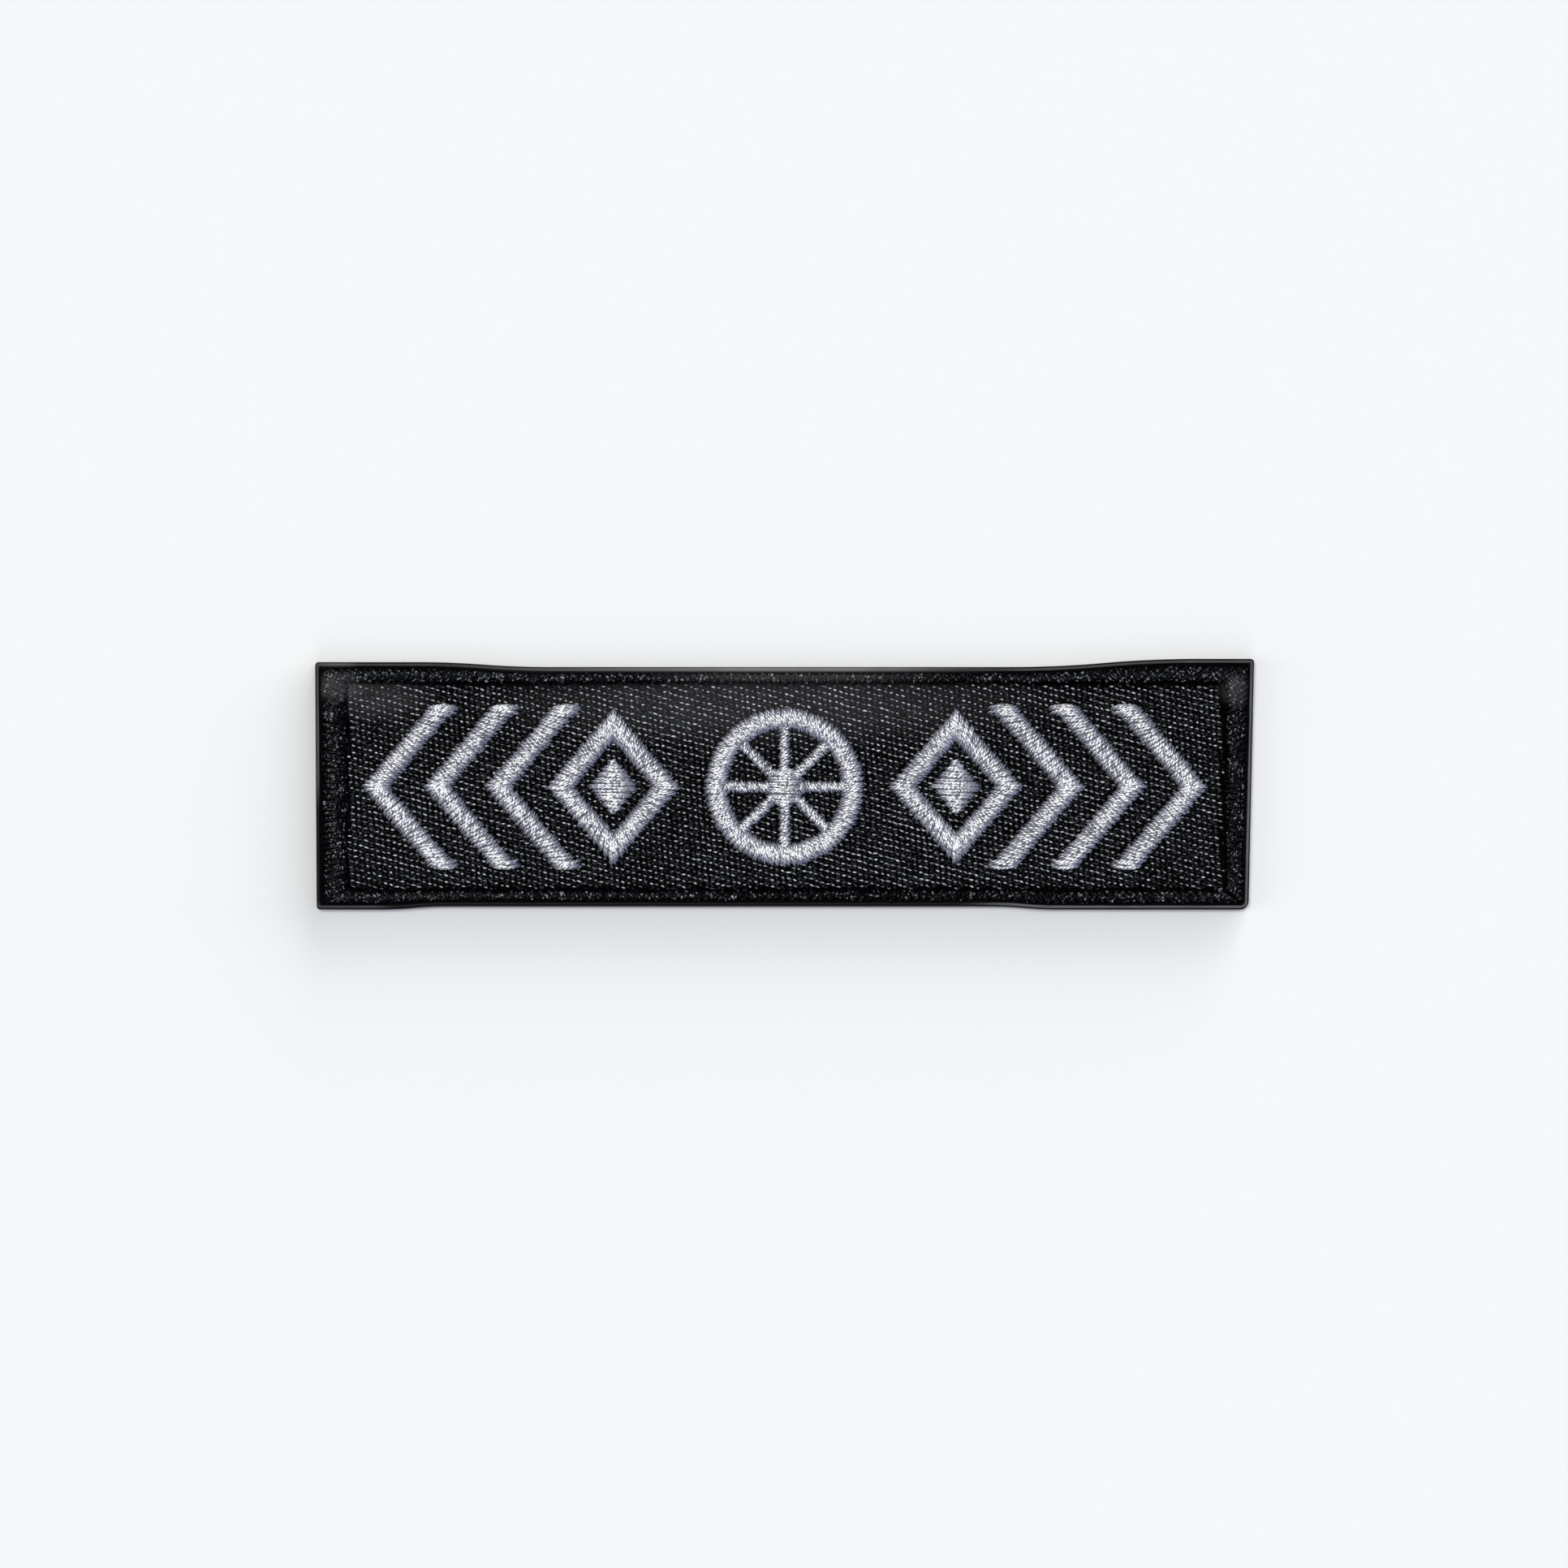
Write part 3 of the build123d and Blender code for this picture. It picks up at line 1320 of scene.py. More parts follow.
@dataclass
class GroundCloth:
    """The twill's own body: flat back, sealed rim, the channel by the border, and the field."""

    outline: PatchOutline
    node: str = "ground_cloth"
    counts: tuple[int, int] = (220, 52)
    bead_waver: float = 0.03 * MM
    bead_waver_length: float = 2.5 * MM
    bead_foot: float = 0.7  # where the wavering bead starts, as a share of the thickness
    pucker: float = 0.035 * MM
    pucker_length: float = 7.0 * MM

    DRESS = ("rim", "field", "back")  # the finishes, in the order of the mesh's materials
    WAVER_LAYER = 3.7  # where the noise is cut
    # From the back's edge up over the rim: how far in, as a share of the rim's width, and how
    # high, as a share of the cloth's thickness.
    RIM = (
        *((0.3, 0.0), (0.06, 0.03), (0.0, 0.16), (0.0, 0.5), (0.03, 0.66), (0.12, 0.8)),
        *((0.22, 0.9), (0.33, 0.98), (0.48, 1.0), (0.62, 0.98), (0.75, 0.9), (0.86, 0.76)),
        (1.0, 0.7),
    )
    # From under the border's stitches into the field: how far in from the window's edge, in
    # millimetres, and how high, as a share of the thickness.
    CHANNEL = ((-0.3, 0.9), (-0.05, 0.78), (0.12, 0.72), (0.3, 0.75), (0.45, 0.86), (0.62, 0.94))

    def __post_init__(self) -> None:
        """Reads the cloth's thickness from the frame."""
        self.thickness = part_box(self.node)[1][2]

    def waver(self, x: float, y: float, length: float) -> float:
        """A smooth random number from -1 to 1 that changes over about a length."""
        return noise.noise(Vector((x / length, y / length, self.WAVER_LAYER)))

    def rings(self) -> list[list[tuple[float, float, float]]]:
        """The loops that the cloth's skin is stretched over.

        Returns:
            The loops, from the back's edge over the rim to the field's edge.
        """
        made = []
        for share_in, share_up in self.RIM:
            ring = []
            for x, y in self.outline.loop(share_in * self.outline.rim_width, self.counts):
                lift = 0.0
                if share_up > self.bead_foot:
                    lift = self.bead_waver * self.waver(x, y, self.bead_waver_length)
                ring.append((x, y, share_up * self.thickness + lift))
            made.append(ring)
        for inset, share_up in self.CHANNEL:
            base = self.outline.window_loop(inset * MM, self.counts)
            made.append([(x, y, share_up * self.thickness) for x, y in base])
        return made

    def build(self, finishes: Finishes) -> bpy.types.Object:
        """Makes the cloth.

        Args:
            finishes: the patch's materials.

        Returns:
            The finished piece.
        """
        rim, cloth, back = range(len(self.DRESS))
        shape = bmesh.new()
        rings = [[shape.verts.new(point) for point in ring] for ring in self.rings()]
        for number, (ring, following) in enumerate(zip(rings, rings[1:])):
            for step in range(len(ring)):
                nxt = (step + 1) % len(ring)
                face = shape.faces.new((ring[step], ring[nxt], following[nxt], following[step]))
                face.material_index = rim if number < len(self.RIM) - 1 else cloth
        self._filled(shape, rings[0], back, lambda x, y: 0.0)
        self._filled(shape, rings[-1], cloth, self._field_height)
        mesh = closed_mesh(self.node, shape, [finishes[name] for name in self.DRESS])
        return finished(as_object("twill_cloth", mesh), Slot.TWILL, self.node)

    def _field_height(self, x: float, y: float) -> float:
        """The height of the field, which puckers up and down."""
        pucker = self.pucker * self.waver(x, y, self.pucker_length)
        return self.CHANNEL[-1][1] * self.thickness + pucker

    def _filled(
        self,
        shape: bmesh.types.BMesh,
        ring: list[bmesh.types.BMVert],
        material: int,
        height: Callable[[float, float], float],
    ) -> None:
        """Fills a loop with a grid of faces.

        Args:
            shape: the mesh.
            ring: the loop's vertices, anticlockwise from the bottom left.
            material: the faces' material.
            height: the height at each place inside.
        """
        long, short = self.counts
        bottom = ring[: long + 1]
        right = ring[long : long + short + 1]
        top = ring[long + short : 2 * long + short + 1][::-1]
        left = (ring[2 * long + short :] + ring[:1])[::-1]
        low_left, low_right, high_left, high_right = (
            vertex.co for vertex in (bottom[0], bottom[-1], top[0], top[-1])
        )
        grid = [bottom]
        for row in range(1, short):
            line = [left[row]]
            up = row / short
            for column in range(1, long):
                along = column / long
                from_ends = left[row].co.lerp(right[row].co, along)
                from_long = bottom[column].co.lerp(top[column].co, up)
                twice = low_left.lerp(low_right, along).lerp(high_left.lerp(high_right, along), up)
                place = from_ends + from_long - twice
                place.z = height(place.x, place.y)
                line.append(shape.verts.new(place))
            line.append(right[row])
            grid.append(line)
        grid.append(top)
        for lower, upper in zip(grid, grid[1:]):
            for column in range(long):
                quad = (lower[column], lower[column + 1], upper[column + 1], upper[column])
                shape.faces.new(quad).material_index = material


@dataclass(frozen=True)
class Yarn:
    """One kind of yarn hump on the twill. Angles are in radians."""

    finish: str
    phase: float  # how far down the repeat it is
    yarn: tuple[float, float, float]  # its length, width and height
    lift: float
    stray: float
    tilt: float
    tilt_spread: float
    seed: int


@dataclass
class Twill:
    """The yarns that show on the field: dark floats, and the crossings between them, which carry
    painted highlights.
    """

    outline: PatchOutline
    tree: TwillTree
    column_pitch: float = 0.5875 * MM
    repeat: float = 0.664 * MM
    lean: float = 0.075  # how far the columns lean to the right, going down
    edge_gap: float = 0.2 * MM
    fray: float = 0.5 * MM  # how far in from the edge marks go missing

    SPARE = (4, 3)  # columns and rows past the window
    YARNS = {
        "twill_floats": Yarn(
            finish="floats",
            phase=0.5,
            yarn=(0.66 * MM, 0.76 * MM, 0.1 * MM),
            lift=0.0,
            stray=0.02 * MM,
            tilt=-0.2,
            tilt_spread=0.06,
            seed=11,
        ),
        "twill_crossings": Yarn(
            finish="crossings",
            phase=0.0,
            yarn=(0.6 * MM, 0.205 * MM, 0.2 * MM),
            lift=0.04 * MM,
            stray=0.05 * MM,
            tilt=-0.25,
            tilt_spread=0.26,
            seed=12,
        ),
    }

    def build(
        self, cloth: bpy.types.Object, cover: bpy.types.Object, finishes: Finishes
    ) -> list[bpy.types.Object]:
        """Makes both kinds of yarn.

        Args:
            cloth: the cloth that they lie on.
            cover: a mesh of what hides them.
            finishes: the patch's materials.

        Returns:
            The two finished pieces.
        """
        half_length, half_height = self.outline.window_half
        shared = tree_inputs(self) | {
            "Cloth": cloth,
            "Cover": cover,
            "Columns": round(2 * half_length / self.column_pitch) + self.SPARE[0],
            "Rows": round(2 * half_height / self.repeat) + self.SPARE[1],
            "Half Length": half_length - self.edge_gap,
            "Half Height": half_height - self.edge_gap,
            "Middle": self.outline.window_middle,
        }
        made = []
        for name, yarn in self.YARNS.items():
            values = shared | tree_inputs(yarn) | {"Material": finishes[yarn.finish]}
            piece = as_object(name, self.tree.grow(bpy.data.meshes.new("host"), values))
            made.append(finished(piece, Slot.TWILL))
        return made


@dataclass(frozen=True)
class PaintedSheen:
    """A soft oval of painted sheen, where the black is painted paler as if light caught it. Its
    place and reach are in millimetres.
    """

    x: float
    y: float
    reach_x: float
    reach_y: float
    paleness: float


@dataclass(frozen=True)
class Patches:
    """A pattern of noise, of so many cells per metre, that fades in from low to high."""

    cells: float
    low: float
    high: float


@dataclass(frozen=True)
class Dashes:
    """Dashes of painted highlight along the threads, which fade in from low to high.

    apart is how far from each other two strands read their noise.
    """

    apart: float
    low: float
    high: float


class ShaderGraph(Graph):
    """A material's node tree, with what its finishes read and the patterns that they use."""

    def place(self) -> Wire:
        """The place on the piece."""
        return self.node("ShaderNodeTexCoord")["Object"]

    def attribute(self, name: str) -> Wire:
        """A number that is stored on the mesh."""
        return self.node("ShaderNodeAttribute", attribute_name=name)["Fac"]

    def noise(self, cells: float, detail: float = 1.0, place: Wire | None = None) -> Wire:
        """Noise from 0 to 1.

        Args:
            cells: its cells per unit of the place.
            detail: how many finer layers it has.
            place: where it is read, if not on the piece in metres.

        Returns:
            The noise.
        """
        # Sets a hump of yarn at each point, with a number for how bright its painted highlight is.
        vector = self.place() if place is None else place
        inputs = {"Vector": vector, "Scale": cells, "Detail": detail}
        return self.node("ShaderNodeTexNoise", inputs)["Fac"]

    def smooth(self, value: Wire, low: float, high: float) -> Wire:
        """0 below low, 1 above high, and a smooth step between."""
        inputs = {"Value": value, "From Min": low, "From Max": high}
        return self.node("ShaderNodeMapRange", inputs, interpolation_type="SMOOTHSTEP")

    def patches(self, patches: Patches) -> Wire:
        """0 between the patches and 1 on them."""
        return self.smooth(self.noise(patches.cells), patches.low, patches.high)

    def mix(self, factor: Any, dark: Any, light: Any) -> Wire:
        """A colour between two.

        Args:
            factor: 0 for the first and 1 for the second.
            dark: the first, a colour or a wire.
            light: the second.

        Returns:
            The colour.
        """
        inputs = {"Factor": factor}
        for name, colour in (("A", dark), ("B", light)):
            inputs[name] = colour if isinstance(colour, Wire) else (*colour, 1.0)
        return self.node("ShaderNodeMix", inputs, data_type="RGBA", clamp_factor=True)

    def bump(self, height: Wire, distance: float) -> Wire:
        """A normal from a height field."""
        inputs = {"Height": height, "Distance": distance, "Strength": 1.0}
        return self.node("ShaderNodeBump", inputs)


@dataclass(frozen=True)
class Finish(ABC):
    """A surface finish that makes its own material."""

    name: str
    roughness: float
    specular: float
    metallic: float = 0.0
    # Soft ovals of painted sheen on the colour.
    hazes: tuple[PaintedSheen, ...] = ()

    HAZE_FADE = (0.2, 1.0)  # from its full paleness to none, in shares of its reach
    HAZE_CELLS = 250.0
    HAZE_EVENNESS = (0.7, 0.6)  # its least share, and how much its noise adds

    def material(self) -> bpy.types.Material:
        """Makes the material.

        Returns:
            The finish as a Blender material.
        """
        material = bpy.data.materials.new(self.name)
        material.use_nodes = True
        material.node_tree.nodes.clear()
        graph = ShaderGraph(material.node_tree)
        sockets = {
            "Roughness": self.roughness,
            "Specular IOR Level": self.specular,
            "Metallic": self.metallic,
        }
        shader = graph.node("ShaderNodeBsdfPrincipled", sockets | self.painted(graph))
        output = graph.tree.nodes.new("ShaderNodeOutputMaterial")
        graph.feed(output.inputs["Surface"], shader)
        return material

    @abstractmethod
    def painted(self, graph: ShaderGraph) -> dict[str, Any]:
        """What feeds the shader's sockets, by their names."""

    def hazed(self, graph: ShaderGraph, colour: Wire) -> Wire:
        """A colour with painted sheen: soft pale ovals that lighten the black in places.

        Args:
            graph: the material's graph.
            colour: the colour.

        Returns:
            The colour with its painted sheen.
        """
        if not self.hazes:
            return colour
        x, y, _ = graph.parts(graph.place())
        # How much the painted sheen lightens the colour towards white.
        sheen_amount: Any = 0.0
        for sheen in self.hazes:
            offset_x = (x - sheen.x * MM) / (sheen.reach_x * MM)
            offset_y = (y - sheen.y * MM) / (sheen.reach_y * MM)
            distance = (offset_x * offset_x + offset_y * offset_y) ** 0.5
            sheen_amount = sheen_amount + sheen.paleness * (1 - graph.smooth(distance, *self.HAZE_FADE))
        least, more = self.HAZE_EVENNESS
        sheen_amount = sheen_amount * (least + more * graph.noise(self.HAZE_CELLS, 2.0))
        return graph.mix(sheen_amount, colour, WHITE)


@dataclass(frozen=True)
class ThreadFinish(Finish):
    """Embroidery thread: a tone for each strand, painted highlight on its crests and dashes, and
    painted shade on the column's sides, darkest where it dips into the cloth.
    """

    dark: Colour = (0.5, 0.5, 0.5)
    light: Colour = (0.6, 0.6, 0.6)
    # Painted shade: the colours of the column's sides and of a thread's ends where it turns into
    # the cloth.
    flank: Colour = (0.2, 0.2, 0.2)
    dip: Colour = (0.1, 0.1, 0.1)
    # The colour of the painted glints.
    speck: Colour = (0.92, 0.96, 1.0)
    grain: float = 0.002 * MM
    dullness: float = 0.1  # how much rougher some places are
    dash_length: float = 0.35 * MM
    fleck: float = 0.0  # how pale the painted glints scattered on its dashes are
    fleck_length: float = 0.2 * MM

    DULL = Patches(1300.0, 0.35, 0.65)
    DASHES = Dashes(90.0, 0.4, 0.6)
    FLECKS = Dashes(170.0, 0.52, 0.68)
    FLECK_PATCHES = (Patches(3000.0, 0.4, 0.62), Patches(700.0, 0.2, 0.6))
    # How much a strand's tone, its dashes and its upper side count in its painted shine.
    SHINE = (0.1, 0.4, 0.5)
    SHINE_STEP = (0.15, 0.75)
    # Steps from a thread's ends, at 0, to its middle, at 1.
    DIP_STEP = (0.0, 0.22)
    CROWN_STEP = (0.16, 0.78)
    FLECK_STEP = (0.04, 0.28)
    # Cells per metre of the filaments, and how much finer they are along the thread.
    FILAMENTS = 14000.0
    FILAMENTS_ALONG = 1200.0

    def _dashed(self, graph: ShaderGraph, length: float, dashes: Dashes) -> Wire:
        """Breaks the threads into dashes of painted highlight.

        Args:
            graph: the material's graph.
            length: about how long they are.
            dashes: their pattern.

        Returns:
            0 between the dashes and 1 on them.
        """
        strand = dashes.apart * graph.attribute("tone")
        place = graph.vector(graph.attribute("along") / length, strand)
        return graph.smooth(graph.noise(1.0, place=place), dashes.low, dashes.high)

    def _coloured(self, graph: ShaderGraph) -> Wire:
        """The thread's colour, with its painted highlight and shade, before any painted sheen.

        Args:
            graph: the material's graph.

        Returns:
            The colour.
        """
        tone, crest, crown = (graph.attribute(name) for name in ("tone", "crest", "crown"))
        dashes = self._dashed(graph, self.dash_length, self.DASHES)
        # Painted highlight: brighter on the dashes and on the plies' crests, a little by each
        # strand's tone.
        shine = self.SHINE[0] * tone + self.SHINE[1] * dashes + self.SHINE[2] * crest
        upper = graph.mix(graph.smooth(shine, *self.SHINE_STEP), self.dark, self.light)
        # Painted shade: the sides of the column are darker than its crown, and darker still where a
        # thread dips into the cloth.
        flank = graph.mix(graph.smooth(crown, *self.DIP_STEP), self.dip, self.flank)
        colour = graph.mix(graph.smooth(crown, *self.CROWN_STEP), flank, upper)
        if not self.fleck:
            return colour
        # Painted glints: pale flecks on the dashes, in patches, near the crown.
        flecks = self._dashed(graph, self.fleck_length, self.FLECKS)
        for patches in self.FLECK_PATCHES:
            flecks = flecks * graph.patches(patches)
        flecks = flecks * graph.smooth(crown, *self.FLECK_STEP)
        return graph.mix(self.fleck * flecks, colour, self.speck)

    def painted(self, graph: ShaderGraph) -> dict[str, Any]:
        """The shader's colour, roughness and normal.

        Args:
            graph: the material's graph.

        Returns:
            What feeds each socket, by its name.
        """
        stretch = graph.vector(graph.attribute("along") * self.FILAMENTS_ALONG)
        filaments = graph.noise(1.0, place=graph.place() * self.FILAMENTS + stretch)
        return {
            "Base Color": self.hazed(graph, self._coloured(graph)),
            "Roughness": self.roughness + self.dullness * graph.patches(self.DULL),
            "Normal": graph.bump(filaments, self.grain),
        }


@dataclass(frozen=True)
class YarnFinish(Finish):
    """Twill yarn with painted highlights: some humps shine more than others, in broken streaks."""

    dark: Colour = (0.004, 0.004, 0.004)
    light: Colour = (0.75, 0.75, 0.74)
    speck: Colour = (0.85, 0.93, 1.0)
    rarity: float = 2.0
    patchiness: float = 0.2  # how much dimmer the painted highlights are in the dull places of the cloth
    faded_ends: float = 0.0  # how much darker its painted highlight is towards the ends of a hump
    streaks: float = 0.7  # how much darker its painted highlight is between its streaks
    dust: float = 0.0  # how pale the fine specks on it are: partly lint, partly painted sheen

    BRIGHT = Patches(110.0, 0.3, 0.65)
    STREAKS = Patches(4200.0, 0.4, 0.56)
    DUST = Patches(4200.0, 0.5, 0.7)
    # Where humps run into the next ones: how much their ends fade elsewhere, and less there.
    LINKED = Patches(90.0, 0.35, 0.65)
    LINKING = (1.25, 0.5)
    END_STEP = (0.25, 0.7)

    def painted(self, graph: ShaderGraph) -> dict[str, Any]:
        """The shader's colour.

        Args:
            graph: the material's graph.

        Returns:
            What feeds the socket, by its name.
        """
        # The glint is painted highlight: dimmer in patches, broken into streaks and fainter towards
        # a hump's ends.
        bright = 1 - self.patchiness + self.patchiness * graph.patches(self.BRIGHT)
        glint = graph.attribute("glint") ** self.rarity * bright
        glint = glint * (1 - self.streaks * (1 - graph.patches(self.STREAKS)))
        ends = graph.smooth(graph.attribute("end"), *self.END_STEP)
        fading = self.LINKING[0] - self.LINKING[1] * graph.patches(self.LINKED)
        glint = glint * (1 - self.faded_ends * ends * fading)
        colour = graph.mix(glint, self.dark, self.light)
        # Fine pale specks, partly lint and partly painted sheen between the glints.
        if self.dust:
            colour = graph.mix(self.dust * graph.patches(self.DUST), colour, self.speck)
        return {"Base Color": self.hazed(graph, colour)}


@dataclass(frozen=True)
class ClothFinish(Finish):
    """Plain dark cloth, uneven in colour, gloss and surface."""

    dark: Colour = (0.003, 0.003, 0.003)
    light: Colour = (0.01, 0.01, 0.01)
    cells: float = 700.0
    fineness: float = 4.0  # how many times finer its relief is
    unevenness: float = 0.25
    relief: float = 0.02 * MM

    def painted(self, graph: ShaderGraph) -> dict[str, Any]:
        """The shader's colour, roughness and normal.

        Args:
            graph: the material's graph.

        Returns:
            What feeds each socket, by its name.
        """
        blotch = graph.noise(self.cells, 4.0)
        fine = graph.noise(self.fineness * self.cells, 3.0)
        return {
            "Base Color": self.hazed(graph, graph.mix(blotch, self.dark, self.light)),
            "Roughness": self.roughness + self.unevenness * (blotch - 0.5),
            "Normal": graph.bump(fine, self.relief),
        }


@dataclass(frozen=True)
class RimFinish(Finish):
    """The melted edge: a smooth bead, painted black below its crest as shade, with its crest
    painted grey as sheen, greyer in places.
    """

    # The painted shade below the bead's crest.
    burnt: Colour = (0.002, 0.002, 0.002)
    dark: Colour = (0.003, 0.003, 0.003)
    light: Colour = (0.1, 0.1, 0.101)
    relief: float = 0.02 * MM
    relief_cells: float = 2500.0

    # The heights between which the painted sheen starts, with painted shade below them, and between
    # which the crest's grey, painted as sheen, starts.
    HAZE_STEP = (0.8 * MM, 1.1 * MM)
    CREST_STEP = (1.1 * MM, 1.18 * MM)
    # Where along X or Y a place starts and where it is full.
    RIGHT = (18 * MM, 26 * MM)
    MIDDLE = (-20 * MM, 0.0)
    UPPER = (-3 * MM, 1 * MM)
    OFF_LEFT_END = (-44 * MM, -41 * MM)
    OFF_BOTTOM = (-12.9 * MM, -12.5 * MM)
    TOP = (10 * MM, 12.5 * MM)
    # How grey the upper left and the bottom left are next to the right, and the top edge.
    UPPER_LEFT_GREY = 0.65
    BOTTOM_LEFT_GREY = 0.5
    TOP_GREY = 0.6
    # The blotches' two sizes: their shares, cells per metre and detail.
    BLOTCHES = ((0.6, 120.0, 1.0), (0.4, 900.0, 3.0))
    BLOTCH_GREY = (1.6, 0.1)  # how much they add to the bead's grey, and its least share
    BLOTCH_DULLNESS = 0.2  # how much rougher they are
    FLANK_DULLNESS = 0.25  # how much rougher the bead is below its crest

    def _grey(self, graph: ShaderGraph) -> Wire:
        """How grey the bead's crest is painted, as sheen.

        Args:
            graph: the material's graph.

        Returns:
            0 where it is black.
        """
        x, y, _ = graph.parts(graph.place())
        left = 1 - graph.smooth(x, *self.MIDDLE)
        upper_left = graph.smooth(y, *self.UPPER) * left
        left_end = 1 - graph.smooth(x, *self.OFF_LEFT_END)
        bottom_left = left_end * (1 - graph.smooth(y, *self.OFF_BOTTOM))
        below_top = 1 - graph.smooth(y, *self.TOP)
        grey = graph.smooth(x, *self.RIGHT) + self.UPPER_LEFT_GREY * upper_left
        grey = grey + self.BOTTOM_LEFT_GREY * bottom_left
        return grey * (self.TOP_GREY + (1 - self.TOP_GREY) * below_top)

    def painted(self, graph: ShaderGraph) -> dict[str, Any]:
        """The shader's colour, roughness and normal.

        Args:
            graph: the material's graph.

        Returns:
            What feeds each socket, by its name.
        """
        height = graph.parts(graph.place())[2]
        # Painted sheen: the crest is grey. Painted shade: below the crest the bead is black.
        crest = graph.smooth(height, *self.CREST_STEP)
        coarse, fine = (share * graph.noise(*size) for share, *size in self.BLOTCHES)
        blotch = coarse + fine
        more, least = self.BLOTCH_GREY
        bead = graph.mix(self._grey(graph) * (more * blotch + least), self.dark, self.light)
        colour = self.hazed(graph, graph.mix(crest, self.burnt, bead))
        # Below these heights the bead is painted shade alone, with no painted sheen.
        upper = graph.smooth(height, *self.HAZE_STEP)
        dullness = self.FLANK_DULLNESS * (1 - crest)
        return {
            "Base Color": graph.mix(upper, self.burnt, colour),
            "Roughness": self.roughness + dullness + self.BLOTCH_DULLNESS * (blotch - 0.5),
            "Normal": graph.bump(graph.noise(self.relief_cells, 3.0), self.relief),
        }


@dataclass(frozen=True)
class FloorFinish(Finish):
    """The pale floor."""

    colour: Colour = (0.47, 0.475, 0.471)

    def painted(self, graph: ShaderGraph) -> dict[str, Any]:
        """The shader's colour."""
        return {"Base Color": (*self.colour, 1.0)}


@dataclass(frozen=True)
class StudioLight:
    """A broad soft light, far enough away to be even over the floor."""

    name: str
    azimuth: float  # degrees from +X towards +Y, of where it stands
    elevation: float
    strength: float
    spread: float  # degrees that it spans
    colour: Colour = WHITE
    grazing: bool = False  # skims the floor alone, for its long soft shadows

    def build(self, floor: bpy.types.Collection) -> None:
        """Adds the light to the scene.

        Args:
            floor: what a grazing light falls on.
        """
        light = bpy.data.lights.new(self.name, "SUN")
        light.energy = self.strength
        light.angle = radians(self.spread)
        light.color = self.colour
        lamp = bpy.data.objects.new(self.name, light)
        azimuth, elevation = radians(self.azimuth), radians(self.elevation)
        across = cos(elevation)
        stand = Vector((across * cos(azimuth), across * sin(azimuth), sin(elevation)))
        lamp.rotation_euler = (-stand).to_track_quat("-Z", "Y").to_euler()
        if self.grazing:
            lamp.light_linking.receiver_collection = floor
        bpy.context.scene.collection.objects.link(lamp)


@dataclass
class Studio:
    """The pale floor, the lights and the camera, straight above the patch."""

    outline: PatchOutline
    floor_half: float = 1.5
    floor_drop: float = 0.02 * MM
    lens: float = 100.0
    sensor: float = 36.0
    photo_side: float = 1932.0
    photo_left: float = 389.0  # pixels of the photograph, of the patch's left edge
    photo_right: float = 1544.5
    photo_top: float = 812.0
    photo_bottom: float = 1120.5
    sky: Colour = (0.98, 0.99, 1.0)
    sky_strength: float = 0.33
    lights: tuple[StudioLight, ...] = (
        StudioLight("key", 135, 69, 2.72, 24),
        StudioLight("fill", -32, 24, 0.8, 30, (0.42, 0.5, 1.0)),
        StudioLight("back", 74, 6.5, 5.6, 24, grazing=True),
        StudioLight("corner", 46, 7.5, 3.5, 26, grazing=True),
        StudioLight("right", 17, 6.5, 3.4, 26, grazing=True),
        StudioLight("left", 185, 18, 1.5, 28, grazing=True),
        StudioLight("front", 270, 20, 1.1, 28, grazing=True),
    )

    def build(self) -> None:
        """Makes the studio."""
        self._camera()
        floor = bpy.data.collections.new("floor")
        floor.objects.link(self._floor())
        for light in self.lights:
            light.build(floor)
        scene = bpy.context.scene
        scene.view_settings.view_transform = "Standard"
        scene.world = bpy.data.worlds.new("studio")
        scene.world.use_nodes = True
        background = scene.world.node_tree.nodes["Background"]
        background.inputs["Color"].default_value = (*self.sky, 1.0)
        background.inputs["Strength"].default_value = self.sky_strength

    def _camera(self) -> None:
        """Sets a long lens straight above the patch, at the photograph's framing."""
        pixels_per_metre = (self.photo_right - self.photo_left) / self.outline.length
        width = self.photo_side / pixels_per_metre
        middle = self.photo_side / 2
        shift_x = (self.photo_left + self.photo_right) / 2 - middle
        shift_y = (self.photo_top + self.photo_bottom) / 2 - middle
        data = bpy.data.cameras.new("camera")
        data.lens = self.lens
        data.sensor_width = self.sensor
        camera = bpy.data.objects.new("camera", data)
        rise = width * self.lens / self.sensor
        camera.location = (-shift_x / pixels_per_metre, shift_y / pixels_per_metre, rise)
        bpy.context.scene.collection.objects.link(camera)
        bpy.context.scene.camera = camera

    def _floor(self) -> bpy.types.Object:
        """Makes the floor, just under the patch's back.

        Returns:
            The floor.
        """
        half, z = self.floor_half, -self.floor_drop
        mesh = bpy.data.meshes.new("floor")
        corners = [(-half, -half, z), (half, -half, z), (half, half, z), (-half, half, z)]
        mesh.from_pydata(corners, [], [(0, 1, 2, 3)])
        mesh.materials.append(FloorFinish("floor", roughness=0.9, specular=0.1).material())
        floor = as_object("floor", mesh)
        return floor


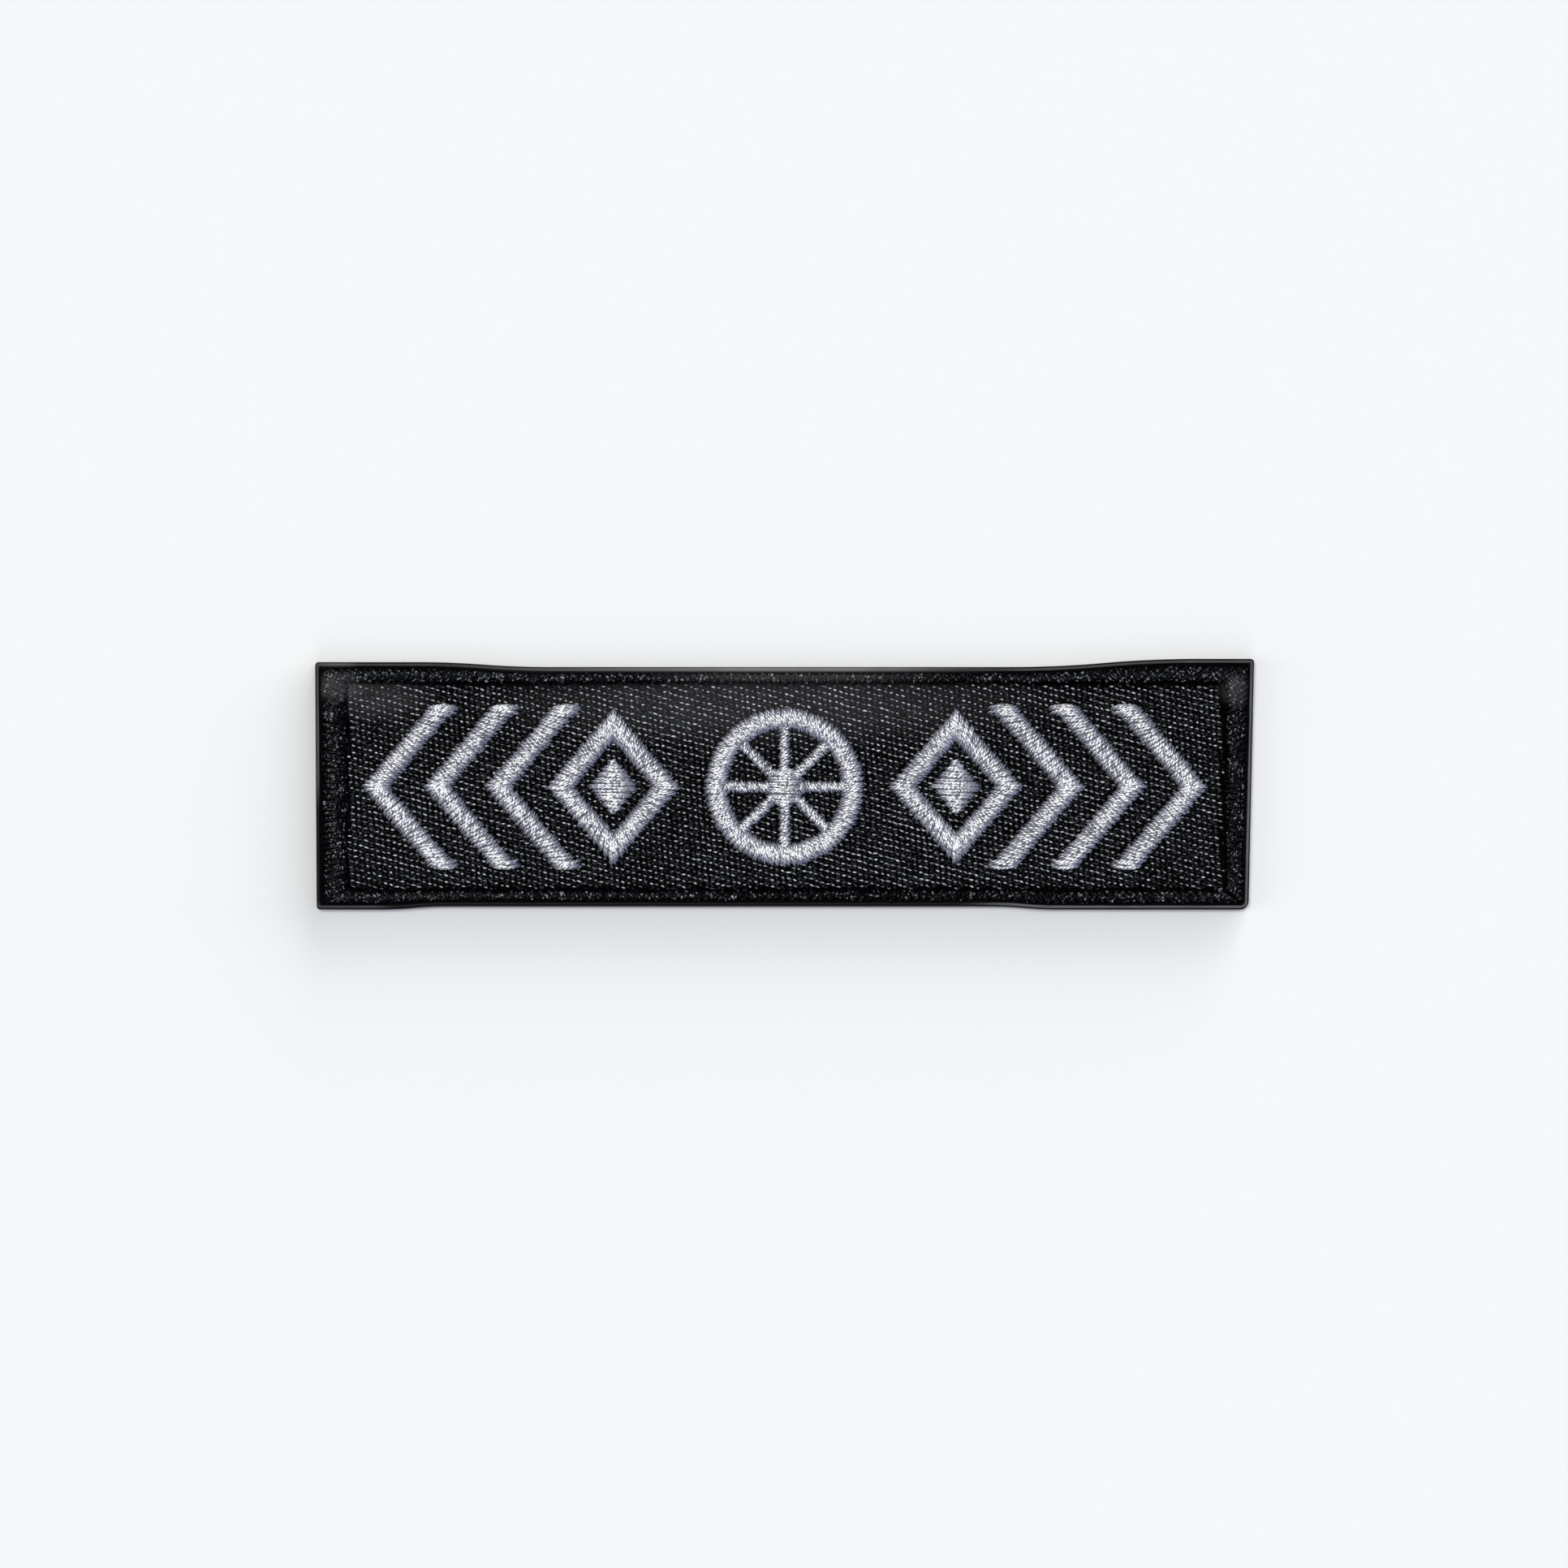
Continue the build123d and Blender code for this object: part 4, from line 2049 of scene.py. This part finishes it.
def patch_finishes() -> Finishes:
    """Makes the patch's materials.

    Returns:
        The materials, by the part that they dress.
    """
    # Soft ovals of painted sheen, where light catches the black.
    left_corner = PaintedSheen(-47.6, 10.4, 3.6, 2.0, 0.04)
    left_field = PaintedSheen(-43.5, 9.2, 7.5, 3.2, 0.02)
    right_edge = PaintedSheen(48.0, 10.0, 2.2, 2.2, 0.036)
    cloth_sheens = (PaintedSheen(-2.0, 8.4, 36.0, 5.0, 0.018), left_corner, left_field, right_edge)
    border_sheens = (PaintedSheen(1.0, 12.0, 19.0, 2.6, 0.034), left_corner, right_edge)
    rim_sheens = (
        PaintedSheen(3.0, 12.6, 24.0, 2.4, 0.1),
        PaintedSheen(-8.0, 12.6, 32.0, 2.4, 0.06),
        PaintedSheen(-47.8, 12.9, 3.0, 1.4, 0.045),
    )
    soot = {"dark": (0.0005, 0.0005, 0.0005), "light": (0.002, 0.002, 0.002)}
    finishes = {
        "silver": ThreadFinish(
            "silver_thread",
            roughness=0.3,
            specular=0.8,
            metallic=0.6,
            dark=(0.23, 0.235, 0.27),
            light=(0.9, 0.9, 0.9),
            flank=(0.29, 0.295, 0.355),
            dip=(0.1, 0.1, 0.13),
            dullness=0.12,
        ),
        # The padding is painted darker than the thread, as shade between the threads.
        "silver_padding": ClothFinish(
            "silver_padding",
            roughness=0.6,
            specular=0.2,
            dark=(0.17, 0.17, 0.2),
            light=(0.26, 0.26, 0.3),
        ),
        "black": ThreadFinish(
            "black_thread",
            roughness=0.16,
            specular=0.06,
            hazes=border_sheens,
            dark=(0.0003, 0.0003, 0.0006),
            light=(0.005, 0.006, 0.009),
            flank=(0.0015, 0.0015, 0.0025),
            dip=(0.0003, 0.0003, 0.0003),
            dullness=0.15,
            dash_length=0.25 * MM,
            fleck=0.34,
        ),
        "black_padding": ClothFinish(
            "black_padding", roughness=0.8, specular=0.03, hazes=border_sheens, **soot
        ),
        "rim": RimFinish("sealed_rim", roughness=0.45, specular=0.09, hazes=rim_sheens),
        "field": ClothFinish(
            "twill_ground", roughness=0.8, specular=0.01, hazes=cloth_sheens, **soot
        ),
        "back": ClothFinish("backing", roughness=0.6, specular=0.3, light=(0.016, 0.016, 0.016)),
        "floats": YarnFinish(
            "twill_float",
            roughness=0.5,
            specular=0.012,
            hazes=cloth_sheens,
            dark=(0.0003, 0.0003, 0.0003),
            light=(0.003, 0.003, 0.004),
            dust=0.036,
        ),
        # The crossings' pale colour is painted highlight.
        "crossings": YarnFinish(
            "twill_crossing",
            roughness=0.4,
            specular=0.2,
            light=(0.62, 0.64, 0.67),
            rarity=0.7,
            faded_ends=0.78,
        ),
    }
    return {name: finish.material() for name, finish in finishes.items()}


def silver_figures(cloth_top: float) -> list[Figure]:
    """The row of silver figures.

    Args:
        cloth_top: the height of the cloth under them.

    Returns:
        The wheel, then the figures of each side, from the wheel outwards.
    """
    figures: list[Figure] = [Wheel("wheel", cloth_top)]
    for side in Side:
        label = side.name.lower()
        figures.append(Lozenge(f"lozenge_{label}", cloth_top))
        figures.append(LozengeCore(f"lozenge_core_{label}", cloth_top))
        chevrons = sorted(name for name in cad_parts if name.startswith(f"chevron_{label}_"))
        figures += [Chevron(name, cloth_top, side=side) for name in chevrons]
    return figures


def main() -> None:
    """Builds the studio, then the patch piece by piece."""
    logging.basicConfig(level=logging.INFO, format="%(message)s")
    outline = PatchOutline()
    Studio(outline).build()

    finishes = patch_finishes()
    body = GroundCloth(outline)
    cloth = body.build(finishes)

    satin = SatinTree("satin_stitches", points=20, profile_sides=5)
    border_satin = SatinTree("border_stitches", points=12, profile_sides=4)
    black_fibre = Thread(
        pitch=0.29 * MM,
        ply_radius=0.105 * MM,
        ply_spread=0.095 * MM,
        twist=0.8 * MM,
        zigzag=0.3,
        scatter=0.14 * MM,
        waver=0.08 * MM,
    )
    black_stitcher = Stitcher(
        border_satin, black_fibre, finishes["black"], finishes["black_padding"], seed=40
    )
    border = BorderStitching("border_stitching", body.thickness, Slot.BLACK, outline)
    border.build(black_stitcher)
    stitcher = Stitcher(satin, Thread(), finishes["silver"], finishes["silver_padding"])
    made = [figure.build(stitcher) for figure in silver_figures(body.thickness)]

    # The twill shows only where no figure covers it.
    cover = joined("cover", [figure.data for figure in made])
    yarns = Twill(outline, TwillTree()).build(cloth, cover, finishes)
    bpy.data.meshes.remove(cover.data)


if __name__ == "__main__":
    main()
